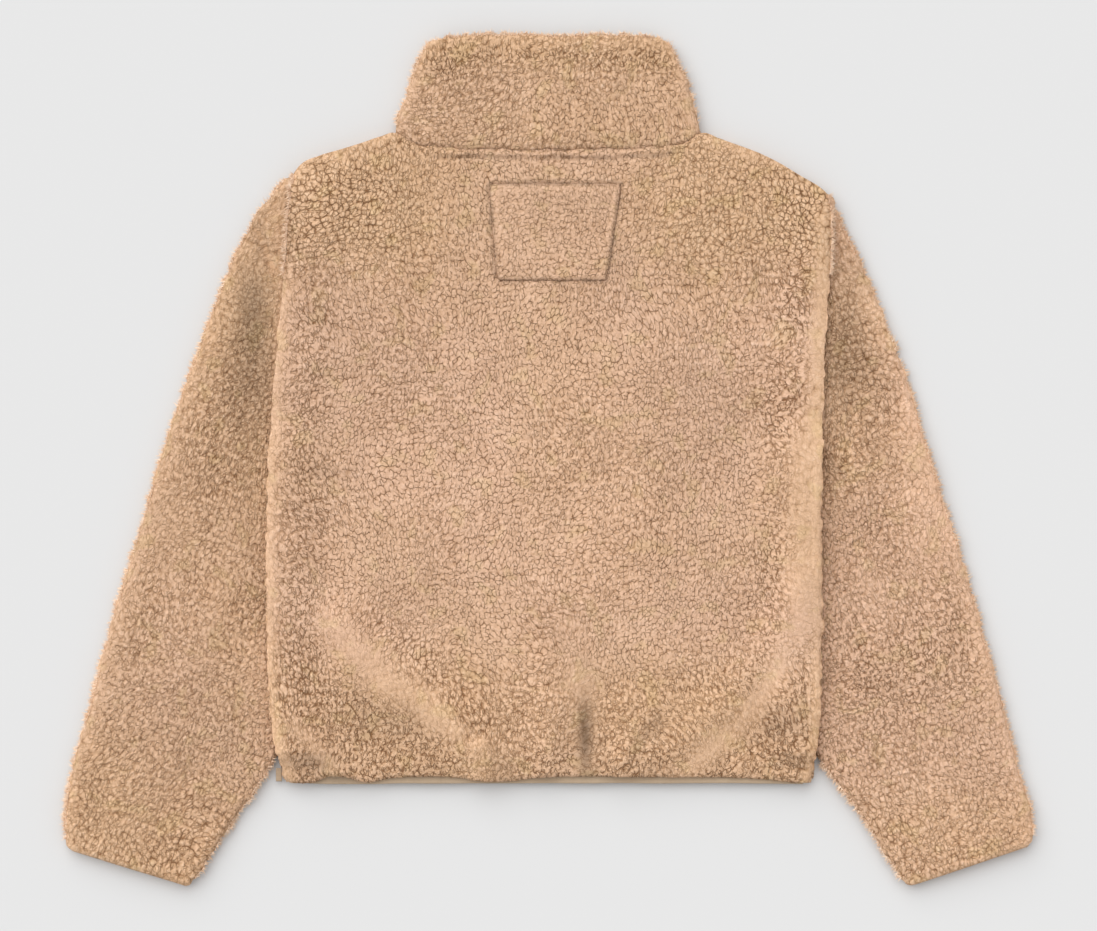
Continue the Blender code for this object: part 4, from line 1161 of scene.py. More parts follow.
@dataclass
class BackPatch:
    """The stitched four-sided patch below the collar: finer pile, level with the back round it."""

    top_y: float = 237.4
    bottom_y: float = 153.9
    top_x: float = 6.4
    bottom_x: float = 3.4
    top_half: float = 57.2
    bottom_half: float = 47.3
    corner: float = 4.0
    wall: float = 1.9
    press: float = 2.3
    across: int = 80
    along: int = 60

    def inside(self, x: Array, y: Array) -> Array:
        """How far each place is inside the patch's outline."""
        up = capped((y - self.bottom_y) / (self.top_y - self.bottom_y))
        middle = mix(self.bottom_x, self.top_x, up)
        half = mix(self.bottom_half, self.top_half, up)
        from_side = half - np.abs(x - middle)
        from_end = np.minimum(y - self.bottom_y, self.top_y - y)
        corner = np.hypot(np.minimum(from_side - self.corner, 0.0), np.minimum(from_end - self.corner, 0.0))
        return np.where(np.minimum(from_side, from_end) < self.corner, self.corner - corner,
                        np.minimum(from_side, from_end))

    def sunk(self, x: Array, y: Array) -> Array:
        """How far the back is pressed down under the patch and its stitching."""
        return self.press * smooth((self.inside(x, y) + 2.4) / 2.6)

    def groove(self, x: Array, y: Array) -> Array:
        """How far each place lies in the stitched groove round the patch, from 0 to 1."""
        depth = 0.75 + 0.25 * wander(x, y, 8.0, 46)
        return depth * bell((self.inside(x, y) + 0.9 * wander(x, y, 7.0, 45)) / 2.2)

    def sheet(self, back: BackPanel) -> Sheet:
        """Lay the patch on the back."""
        share = steps(self.across, -1.0, 1.0)[None]
        up = steps(self.along)[:, None]
        square_u, square_v = share + 0.0 * up, 2.0 * up - 1.0 + 0.0 * share
        rounded = 1.0 - 0.02 * (square_u * square_v) ** 6
        x = mix(self.bottom_x, self.top_x, up) + mix(self.bottom_half, self.top_half, up) * square_u * rounded
        y = mix(self.bottom_y, self.top_y, 0.5 + 0.5 * square_v * rounded)
        inside = self.inside(x, y)
        z = back.face(x, y) + 0.2 - 1.5 * (1.0 - smooth(inside / 3.0))
        return Sheet(np.stack([x, y, back.uneven(x, y, z)], axis=2), Facing.UP)

    def pile(self, sheet: Sheet) -> Pile:
        """Fine, even pile with a lighter band inside the patch's sides."""
        x, y = sheet.ground
        inside = self.inside(x, y)
        band = bell((inside - 5.0) / 3.0) * smooth((y - 175.0) / 30.0)
        plain = np.zeros(x.shape)
        # painted shade in the stitched groove round the patch
        shade = 0.975 + 0.05 * band - 0.36 * self.groove(x, y)
        combed = plain + 0.08 + 0.4 * band
        return Pile(plain + 0.12, combed, plain + 0.1, plain + 0.25, shade, plain + 1.0, 400)


@dataclass
class Front:
    """One front, lying on the surface under the back, from its side seam to the zip."""

    side: int
    outline: Outline = OUTLINE
    wall: float = 5.0
    opening: float = 6.0
    across: int = 60
    along: int = 150
    roll_steps: int = 4
    roll_reach: float = 7.2
    shoulder_seam: float = 7.2
    shoulder_gap: float = 2.8
    armhole_gap: float = 2.0
    rim_level: float = 9.0
    rim_slope: float = 33.0

    def sheet(self) -> Sheet:
        """Lay the front out on its grid, whose first column is at the side seam."""
        outline, side = self.outline, self.side
        tip = outline.top[0][0] if side < 0 else outline.top[-1][0]
        roll_in, roll_drop = rolled(self.roll_steps)
        middle = steps(self.across)[1:]
        inwards = np.concatenate([roll_in, 0.0 * middle + 1.0]) * outline.roll_reach
        side_rise = np.concatenate([roll_drop, 0.0 * middle])
        across = np.concatenate([0.0 * roll_in, middle])
        nominal = mix(tip - side * inwards, side * self.opening, across)
        at_neck = (nominal > outline.neck[0]) & (nominal < outline.neck[1])
        top = np.where(at_neck, straight(outline.front_neck, 1, np.abs(nominal)),
                       straight(outline.top, 1, nominal)) - 0.2
        shoulder = outline.shoulder(nominal, inwards)
        climb = steps(self.along)[:-1, None]
        lower = mix(outline.front_hem, (top - self.roll_reach)[None], climb)
        turn = steps(self.roll_steps, 1.0, 0.0)[:, None]
        upper = top[None] - self.roll_reach * mix(turn, roll_in[::-1][:, None], shoulder[None])
        y = np.concatenate([lower, upper])
        rise = np.concatenate([0.0 * lower, roll_drop[::-1][:, None] * shoulder[None] ** 3])
        at_armhole = smooth((y - outline.underarm) / 6.0)
        stepped = np.maximum(outline.tuck(y, side) + self.armhole_gap, 0.0) * at_armhole
        edge = outline.edge(y, side) - side * stepped
        x = mix(edge - side * inwards[None], side * self.opening, across[None])
        from_side = np.abs(outline.edge(y, side) - x)
        z = outline.lift(y) * (1.0 - smooth((from_side - self.rim_level) / self.rim_slope))
        z = z + (self.shoulder_seam - self.shoulder_gap / 2.0 - z) * rise
        z = z + outline.curl(y, side, 0.8) * side_rise[None]
        return Sheet(np.stack([x, y, z], axis=2), Facing.DOWN)

    def pile(self, sheet: Sheet) -> Pile:
        """Plain small curls, pressed by what the jacket lies on."""
        x, y = sheet.ground
        plain = np.zeros(x.shape)
        coarse = 0.35 + 0.3 * wander(x, y, 60.0, 33)
        return Pile(coarse, plain, plain, plain, plain + 0.95, plain + 1.4, 500 + self.side, 0.0, 7.0, 9.0)


# --- sleeves -------------------------------------------------------------------------------------


def tube_level(top: Array, turn: Array, under: Array) -> Array:
    """How high each step round a flattened tube lies.

    Args:
        top: The steps over its top.
        turn: The turn of each step round a fold, from 0 to half a turn.
        under: The steps back underneath.

    Returns:
        The levels: 1 on the top, 0 underneath, and round the folds between them.
    """
    return np.concatenate([0.0 * top + 1.0, 0.5 + 0.5 * np.cos(turn), 0.0 * under, 0.5 - 0.5 * np.cos(turn)])


@dataclass
class Sleeve:
    """One sleeve: a flattened tube, open at the cuff and at the armhole."""

    side: int
    rows: tuple  # outer x, outer y, inner x, inner y, bend to the armhole's line
    drape: Drape
    tones_and_shade: tuple
    seed: int
    lean: float  # of the pile's pattern, in degrees
    gold: float  # how yellow the pile is
    paler: float  # added to the tone of its pile
    outline: Outline = OUTLINE
    wall: float = 5.0
    height: float = 10.7
    cuff_height: float = 13.8
    cuff_reach: float = 75.0
    top_steps: int = 128
    under_steps: int = 40
    fold_steps: int = 8
    along: int = 320
    least_tuck: float = 2.0
    corner_pinch: float = 3.6
    corner_reach: float = 4.5
    square_reach: float = 16.0  # how far from the cuff the folds still turn along its edge

    def keyed_rows(self) -> Array:
        """The rows with their distance from the cuff as a first column."""
        rows = np.array(self.rows, float)
        middles = (rows[:, 0:2] + rows[:, 2:4]) / 2.0
        gone = np.concatenate([[0.0], np.cumsum(np.linalg.norm(np.diff(middles, axis=0), axis=1))])
        return np.column_stack([gone, rows])

    def inward(self, edge: Array, along_row: Array, turned: Array) -> Array:
        """The level direction from a folded edge into the sleeve, square to the fold or along its row."""
        line = np.gradient(edge, axis=0)
        square = np.stack([line[:, 1], -line[:, 0]], axis=1)
        square /= np.linalg.norm(square, axis=1, keepdims=True)
        facing = np.sign((square * along_row).sum(axis=1, keepdims=True))
        made = mix(square * facing, along_row, turned[:, None])
        return made / np.linalg.norm(made, axis=1, keepdims=True)

    def sheet(self) -> Sheet:
        """Lay the sleeve out on its grid, which runs over the top from the outer fold, then under."""
        rows = self.keyed_rows()
        gone = np.linspace(0.0, rows[-1, 0], self.along + 1)
        outer = np.stack([curve(rows, 1, gone), curve(rows, 2, gone)], axis=1)
        inner = np.stack([curve(rows, 3, gone), curve(rows, 4, gone)], axis=1)
        bend = capped(curve(rows, 5, gone))
        across = (inner - outer) / np.linalg.norm(inner - outer, axis=1)[:, None]
        corner = self.corner_pinch * rounded(gone / self.corner_reach)
        outer, inner = outer + across * corner[:, None], inner - across * corner[:, None]
        width = np.linalg.norm(inner - outer, axis=1)
        height = mix(self.cuff_height, self.height, smooth(gone / self.cuff_reach))
        radius = height / 2.0
        turned = np.maximum(np.minimum(bend / 0.9, 1.0) ** 3, 1.0 - smooth(gone / self.square_reach))
        start = outer + self.inward(outer, across, turned) * radius[:, None]
        end = inner + self.inward(inner, -across, turned) * radius[:, None]

        top = steps(self.top_steps)[:-1]
        under = steps(self.under_steps, 1.0, 0.0)[:-1]
        turn = steps(self.fold_steps, 0.0, math.pi)[:-1]
        flat_share = np.concatenate([top, 0.0 * turn + 1.0, under, 0.0 * turn])
        at_inner = np.concatenate([0.0 * top, np.sin(turn), 0.0 * under, 0.0 * turn])
        at_outer = np.concatenate([0.0 * top, 0.0 * turn, 0.0 * under, np.sin(turn)])
        level = tube_level(top, turn, under)
        ground = mix(start[:, None], end[:, None], flat_share[None, :, None])
        ground = ground + (inner - end)[:, None] * at_inner[None, :, None]
        ground = ground + (outer - start)[:, None] * at_outer[None, :, None]
        reach = (radius[:, None] * (1.0 - at_outer[None]) * (flat_share[None] < 0.5)
                 + flat_share[None] * (width - 2.0 * radius)[:, None]
                 + radius[:, None] * (flat_share[None] >= 0.5) * (1.0 + at_inner[None]))
        share = capped(reach / width[:, None])
        armhole_y = mix(rows[-1, 2], rows[-1, 4], share)
        on_chord = mix(rows[-1, 1], rows[-1, 3], share)
        tucked_in = np.maximum(self.outline.tuck(armhole_y, self.side), self.least_tuck)
        armhole_x = self.outline.edge(armhole_y, self.side) - self.side * tucked_in
        x = ground[:, :, 0] + bend[:, None] * (armhole_x - on_chord)
        y = ground[:, :, 1]
        z = level[None] * height[:, None]

        lying = smooth((level[None] - 0.5) * 2.0)
        tucked = smooth((-self.outside(x, y)) / 4.0)
        z = z + self.drape.height(x, y) * lying * (1.0 - tucked)
        uneven = 0.8 * wander(x, y, 52.0, self.seed) + 0.5 * wander(x, y, 27.0, self.seed + 1)
        z = z + uneven * lying * smooth(self.outside(x, y) / 20.0)
        at_cuff = 1.0 - smooth(gone / 3.5)[:, None]
        z = mix(z, mix(z, height[:, None] / 2.0, 0.35), at_cuff)
        return Sheet(np.stack([x, y, z], axis=2), Facing.UP, closed=True)

    def outside(self, x: Array, y: Array) -> Array:
        """How far each place is outside the body's edge."""
        return (x - self.outline.edge(y, self.side)) * self.side

    def pile(self, sheet: Sheet) -> Pile:
        """The sleeve's pile: tangled by the shoulder and the cuff, with painted shade beside the body."""
        x, y, z = (sheet.places[:, :, axis] for axis in range(3))
        gone = steps(self.along)[:, None] + 0.0 * x
        near_cuff = smooth((0.30 - gone) / 0.28)
        near_shoulder = smooth((gone - 0.60) / 0.25)
        uneven = 0.22 * wander(x, y, 50.0, self.seed + 9)
        coarse = capped(0.15 + 0.28 * near_cuff + 0.35 * near_shoulder + uneven)
        outside = self.outside(x, y)
        # painted shade: the sleeve is darker where it runs under the back's rim
        near_body = bell(np.maximum(outside, 0.0) / 24.0) * smooth((y + 170.0) / 90.0)
        fold = capped((self.height * 0.8 - z) / 4.0) * smooth(outside / 30.0)
        from_outer = (x * self.side).max(axis=1, keepdims=True) - x * self.side
        fringed = bell(from_outer / 10.0)
        at_end = 1.0 - smooth(gone / 0.012)
        combed = capped(self.drape.combed(x, y) + 0.5 * fold + 0.6 * fringed + 0.5 * at_end)
        # painted shade beside the body, from near_body and the dark patches, with the pile's tone
        shade = 0.975 + toned_and_shaded(self.tones_and_shade, x, y) - 0.05 * near_body + 0.06 * coarse
        shade = shade + 0.05 * fringed + 0.02 * at_end + self.paler
        shade = shade - 0.05 * smooth((wander(x, y, 75.0, self.seed + 15) - 0.3) / 0.6)
        golden = capped(self.gold + 0.25 * fold + 0.45 * near_cuff + 0.45 * near_shoulder + 0.3 * at_end
                         + 0.25 * wander(x, y, 64.0, self.seed + 12))
        streaked = np.clip(0.55 + 0.4 * wander(x, y, 58.0, self.seed + 13), 0.0, 0.95)
        streaked = streaked * (1.0 - 0.4 * near_cuff)
        hidden = smooth(-outside / 3.0)
        tall = (mix(1.3, 2.7, coarse) * (1.0 - hidden) + 0.2) * (1.0 - 0.85 * at_end)
        return Pile(coarse, combed, streaked, golden, shade, tall, self.seed + 20, self.lean)


LEFT_ROWS = (
    (-414.2, -334.3, -308.0, -367.0, 0.00), (-415.8, -305.3, -288.1, -337.1, 0.00),
    (-411.1, -273.5, -262.3, -299.3, 0.00), (-400.8, -234.8, -237.4, -262.3, 0.00),
    (-387.9, -184.9, -223.6, -226.0, 0.00), (-370.7, -122.1, -224.0, -193.0, 0.00),
    (-350.9, -57.6, -225.0, -163.0, 0.00), (-331.1, 8.6, -226.2, -134.0, 0.00),
    (-307.9, 76.5, -227.6, -107.0, 0.03), (-283.8, 143.6, -228.6, -82.0, 0.15),
    (-261.4, 194.5, -229.6, -59.0, 0.40), (-241.8, 226.3, -229.8, -37.0, 0.70),
    (-226.4, 243.9, -230.0, -25.2, 0.95), (-221.6, 247.2, -230.0, -17.2, 1.00))
RIGHT_ROWS = (
    (416.4, -330.9, 309.7, -367.0, 0.00), (415.8, -302.7, 289.0, -337.1, 0.00),
    (406.8, -271.8, 264.0, -299.3, 0.00), (397.3, -234.8, 236.6, -263.0, 0.00),
    (384.4, -184.9, 219.0, -226.0, 0.00), (367.2, -122.1, 221.0, -193.0, 0.00),
    (347.4, -57.6, 221.6, -163.0, 0.00), (326.8, 8.6, 221.9, -134.0, 0.00),
    (306.2, 76.5, 222.7, -107.0, 0.03), (281.2, 143.6, 223.6, -82.0, 0.15),
    (262.3, 187.2, 224.5, -59.0, 0.40), (253.0, 209.6, 224.7, -37.0, 0.70),
    (248.0, 225.6, 224.9, -25.2, 0.95), (244.6, 229.0, 224.9, -17.2, 1.00))
LEFT_DRAPE = Drape((
    Fold((-254, 206), (-244, 186), (-236, 160), -3.4, 4.5),
    Fold((-246, 100), (-256, 60), (-262, 20), -1.4, 6),
    Fold((-300, 40), (-320, -40), (-330, -110), 1.3, 16, 0.2),
    Fold((-258, -40), (-285, -110), (-300, -190), 1.2, 15, 0.2),
    Fold((-250, -235), (-290, -270), (-350, -290), -1.3, 11),
))
RIGHT_DRAPE = Drape((
    Fold((256, 50), (260, 44), (268, 38), -1.6, 3),
    Fold((250, 90), (262, 50), (266, 10), -1.3, 6),
    Fold((300, 50), (322, -30), (330, -110), 1.3, 16, 0.25),
    Fold((260, -60), (285, -130), (300, -200), 1.2, 14, 0.2),
    Fold((262, -70), (266, -74), (272, -80), -1.4, 4),
))

LEFT_TONES_AND_SHADE = (
    ToneAndShade((-254, 134), (16, 40), -0.36), ToneAndShade((-247, 190), (5, 14), -0.12),
    ToneAndShade((-260, 70), (22, 52), -0.20), ToneAndShade((-250, 205), (14, 20), -0.10),
    ToneAndShade((-262, -60), (24, 60), -0.02), ToneAndShade((-350, -250), (70, 60), -0.03))
RIGHT_TONES_AND_SHADE = (
    ToneAndShade((258, 88), (20, 50), -0.30), ToneAndShade((262, 10), (14, 40), 0.02),
    ToneAndShade((280, 30), (12, 50), -0.08), ToneAndShade((262, 160), (16, 30), -0.10),
    ToneAndShade((330, -60), (40, 90), 0.05))


# --- collar --------------------------------------------------------------------------------------


@dataclass
class FlatBand:
    """A band that runs from the zip round the back to the zip, and lies folded flat at its sides."""

    outline: Outline = OUTLINE
    opening: float = 6.0
    front_steps: int = 40
    back_steps: int = 176
    fold_steps: int = 8

    def wrapped(self, left: Array, right: Array, radius: float) -> tuple[Array, Array]:
        """Lay out the band's rows.

        Args:
            left: Where each row folds on the left.
            right: Where each row folds on the right.
            radius: How round the folds are.

        Returns:
            How far across each place is, and its level: 0 in front and 1 behind.
        """
        front, back = steps(self.front_steps), steps(self.back_steps)[:-1]
        turn = steps(self.fold_steps, 0.0, math.pi)[:-1]
        x = np.concatenate([
            mix(-self.opening, left + radius, front[:-1]), left + radius - radius * np.sin(turn),
            mix(left + radius, right - radius, back), right - radius + radius * np.sin(turn),
            mix(right - radius, self.opening, front)], axis=1)
        level = np.concatenate([0.0 * front[:-1], 0.5 - 0.5 * np.cos(turn), 0.0 * back + 1.0,
                                0.5 + 0.5 * np.cos(turn), 0.0 * front])
        return x, level + 0.0 * x


@dataclass
class Collar(FlatBand):
    """The standing collar, folded flat: a band open at the zip."""

    wall: float = 5.0
    top: float = 13.9
    edge: float = 365.9
    front_edge: float = 358.0
    rows: tuple = (  # share of the height, left fold, right fold
        (0.00, -131.6, 130.7), (0.16, -129.9, 129.0), (0.36, -123.8, 124.7), (0.56, -118.7, 120.4),
        (0.76, -112.7, 112.7), (0.88, -108.4, 108.4), (0.96, -103.2, 104.0), (1.00, -95.5, 98.0))
    top_line: tuple = ((-98.0, -3.0), (-70.0, -0.6), (-20.0, 0.0), (10.0, -1.2), (40.0, 0.0), (80.0, -0.4),
                       (98.0, -3.0))
    along: int = 64
    seam_drop: float = 2.9
    top_drop: float = 3.4
    top_reach: float = 5.0

    def folds(self) -> tuple[Array, Array, Array]:
        """The share of the height at each row, and where its left and right folds are."""
        rise = 1.0 - (1.0 - steps(self.along)[:, None]) ** 1.15
        return rise, curve(self.rows, 1, rise), curve(self.rows, 2, rise)

    def sheet(self) -> Sheet:
        """Lay the collar out on its grid, from one front edge round the back to the other."""
        rise, left, right = self.folds()
        x, level = self.wrapped(left, right, self.top / 2.0)
        widened = np.where(x < 0.0, self.outline.neck[0] - left, self.outline.neck[1] - right)
        at_seam = x + widened * smooth(np.abs(x) / 100.0)
        share = smooth(level)
        front_seam = straight(self.outline.front_neck, 1, np.abs(at_seam)) + 1.3
        back_seam = curve(self.outline.top, 1, at_seam) - 1.0 + self.outline.ragged(at_seam)
        seam = mix(front_seam, back_seam, share)
        top = mix(self.front_edge, self.edge + straight(self.top_line, 1, x), share)
        y = mix(seam, top, rise)
        from_seam, from_top = y - seam, top - y
        parted = 0.85 + 0.15 * waver(x, 17.0, 65)
        parted = parted * mix(0.5, 1.0, smooth((116.0 - np.abs(x)) / 22.0))
        z = level * self.top - self.seam_drop * parted * (1.0 - smooth(from_seam / 3.6)) * share
        z = z - self.top_drop * rounded(from_top / self.top_reach) * share
        waved = 0.6 * wander(x, y, 44.0, 61) + 0.4 * wander(x, y, 21.0, 62)
        z = z + waved * share * smooth(from_seam / 12.0)
        return Sheet(np.stack([x, y, z], axis=2), Facing.UP)

    def pile(self, sheet: Sheet) -> Pile:
        """The collar's pile, a little deeper in tone above its seam."""
        x, y = sheet.ground
        _, left, right = self.folds()
        coarse = capped(0.32 + 0.3 * wander(x, y, 42.0, 71))
        near_seam = 1.0 - smooth((y - 268.0) / 22.0)
        from_fold = np.minimum(x - left, right - x)
        rim = bell(np.maximum(from_fold, 0.0) / 9.0)
        near_top, at_top = smooth((y - 312.0) / 40.0), smooth((y - 346.0) / 16.0)
        shade = 0.965 - 0.05 * near_seam + 0.04 * rim + 0.03 * wander(x, y, 50.0, 72) + 0.04 * at_top
        golden = capped(0.4 + 0.5 * smooth((y - 322.0) / 30.0) + 0.25 * wander(x, y, 48.0, 73))
        streaked = np.clip(0.35 + 0.6 * near_top + 0.5 * wander(x, y, 40.0, 74), 0.0, 0.95)
        combed = capped(0.55 * rim + 0.45 * at_top)
        return Pile(coarse, combed, streaked, golden, shade, mix(1.4, 2.5, coarse), 700)


# --- bindings ------------------------------------------------------------------------------------


@dataclass
class HemBinding(FlatBand):
    """The smooth binding that gathers the hem, from the zip round the back to the zip."""

    wall: float = 1.0
    low_y: float = -278.2
    depth: float = 11.0
    inset: float = 6.8
    low: float = 5.3
    high: float = 8.5
    opening: float = 17.4
    front_steps: int = 60
    back_steps: int = 240
    fold_steps: int = 6
    along: int = 8

    def sheet(self) -> Sheet:
        """Lay the binding out, with the small waves that its gathers make."""
        share = steps(self.along)[:, None]
        y = self.low_y + self.depth * share
        left, right = self.outline.edge(y, -1) + self.inset, self.outline.edge(y, 1) - self.inset
        x, level = self.wrapped(left, right, (self.high - self.low) / 2.0)
        z = mix(self.low, self.high, level) + 0.35 * waver(x, 7.0, 81) * smooth(level)
        y = y + 0.0 * x + 0.5 * waver(x, 31.0, 82) * (1.0 - share)
        return Sheet(np.stack([x, y, z], axis=2), Facing.UP)


@dataclass
class CuffBinding:
    """The smooth binding inside a cuff, which ends just short of the pile's edge."""

    sleeve: Sleeve
    wall: float = 1.0
    inside: float = 11.6
    short: float = 3.2
    inset: float = 6.8
    low: float = 5.3
    high: float = 8.2
    flat_steps: int = 48
    fold_steps: int = 6
    along: int = 6

    def sheet(self) -> Sheet:
        """Lay the binding out as a thin ring between the sleeve's layers."""
        rows = np.array(self.sleeve.rows, float)
        outer, inner, second = rows[0, 0:2], rows[0, 2:4], rows[1, 0:2]
        across = (inner - outer) / np.linalg.norm(inner - outer)
        along = (second - outer) - across * np.dot(second - outer, across)
        along /= np.linalg.norm(along)
        width = np.linalg.norm(inner - outer) - 2.0 * self.inset
        radius = (self.high - self.low) / 2.0
        flat = steps(self.flat_steps)[:-1]
        turn = steps(self.fold_steps, 0.0, math.pi)[:-1]
        inwards = np.concatenate([
            mix(radius, width - radius, flat), width - radius + radius * np.sin(turn),
            mix(width - radius, radius, flat), radius - radius * np.sin(turn)])
        level = tube_level(flat, turn, flat)
        shift = steps(self.along, self.short, self.inside)[:, None]
        ground = (outer + across * self.inset)[None, None] + across[None, None] * inwards[None, :, None]
        ground = ground + along[None, None] * shift[:, :, None]
        z = mix(self.low, self.high, level) + 0.25 * waver(inwards, 6.0, 91)
        z = z[None] + 0.0 * shift
        return Sheet(np.concatenate([ground, z[:, :, None]], axis=2), Facing.UP, closed=True)


# --- made by hand --------------------------------------------------------------------------------


def only(piece: bpy.types.Object) -> None:
    """Select one piece and no other."""
    bpy.ops.object.select_all(action="DESELECT")
    piece.select_set(True)
    bpy.context.view_layer.objects.active = piece


def block(name: str, low: tuple, high: tuple, bevel: float, segments: int) -> bpy.types.Object:
    """A block with rounded edges between two corners in millimetres, its place in its mesh."""
    bpy.ops.object.select_all(action="DESELECT")
    middle = [(a + b) / 2.0 * MM for a, b in zip(low, high)]
    bpy.ops.mesh.primitive_cube_add(size=1.0, location=middle)
    piece = bpy.context.active_object
    piece.name = name
    piece.scale = [(b - a) * MM for a, b in zip(low, high)]
    bpy.ops.object.transform_apply(location=True, rotation=True, scale=True)
    rounded = piece.modifiers.new("Rounded", "BEVEL")
    rounded.width = bevel * MM
    rounded.segments = segments
    only(piece)
    bpy.ops.object.modifier_apply(modifier=rounded.name)
    bpy.ops.object.shade_smooth()
    return piece


@dataclass
class SideLoop:
    """A plain folded loop of woven tape in the left side seam, just above the hem."""

    tape: float = 0.5
    bend: float = 0.5

    def sheet(self) -> Sheet:
        """Fold the loop: two layers of tape with a rounded bend at the outside."""
        low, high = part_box("side_label")
        bottom, top = low.y / MM, high.y / MM
        middle = (low.z + high.z) / 2.0 / MM
        inner, outer = high.x / MM, low.x / MM
        bend = self.bend
        turn = steps(8, -math.pi / 2.0, math.pi / 2.0)
        x = np.concatenate([[inner], mix(inner, outer, np.linspace(0.2, 0.85, 5)),
                            outer + bend - bend * np.cos(turn),
                            mix(outer, inner, np.linspace(0.15, 0.8, 5)), [inner]])
        z = np.concatenate([np.full(6, middle - bend), middle + bend * np.sin(turn),
                            np.full(6, middle + bend)])
        rows = np.linspace(bottom, top, 13)[:, None]
        waved = 0.12 * np.sin(rows * 1.3)
        places = np.stack([x[None] + 0.0 * rows, rows + 0.0 * x[None], z[None] + waved], axis=2)
        return Sheet(places, Facing.UP)


@dataclass
class ZipTeeth:
    """Two rows of closed moulded teeth on the zip's chain."""

    pitch: float = 2.6
    tooth: float = 1.5
    reach: float = 3.4
    rounding: float = 0.35

    def piece(self) -> bpy.types.Object:
        """Make one tooth and set it along both sides of the chain."""
        low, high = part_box("zip_chain")
        half = high.x / MM
        bottom, top = low.z / MM, high.z / MM
        tooth = block("tooth", (half - self.reach, -self.tooth / 2.0, bottom), (half, self.tooth / 2.0, top),
                      self.rounding, 1)
        corners = np.array([vertex.co for vertex in tooth.data.vertices]) / MM
        shapes = [list(polygon.vertices) for polygon in tooth.data.polygons]
        bpy.data.objects.remove(tooth, do_unlink=True)
        start, end = low.y / MM + self.pitch, high.y / MM - self.pitch
        vertices, faces = [], []
        for index in range(int((end - start) / self.pitch)):
            for side in (1.0, -1.0):
                moved = corners * np.array([side, 1.0, 1.0])
                moved[:, 1] += start + self.pitch * (index + (0.25 if side > 0.0 else 0.75))
                base = len(vertices)
                vertices += moved.tolist()
                for shape in shapes:
                    faces.append([base + corner for corner in (shape if side > 0.0 else shape[::-1])])
        return meshed("zip_teeth", np.array(vertices), faces)


# --- the whole jacket ----------------------------------------------------------------------------


@dataclass
class Cut:
    """A sheet that is cut: its piece, its flat size in metres, and what it lies on and carries."""

    piece: bpy.types.Object
    sheet: Sheet
    flat: Point
    under: tuple[str, ...] = ()
    held: str = "laid"
    carried: list = field(default_factory=list)

    def declare(self) -> None:
        """Log the sheet's area."""
        area = self.sheet.area()
        LOG.info("%s: %.6f square metres", self.piece.name, area)


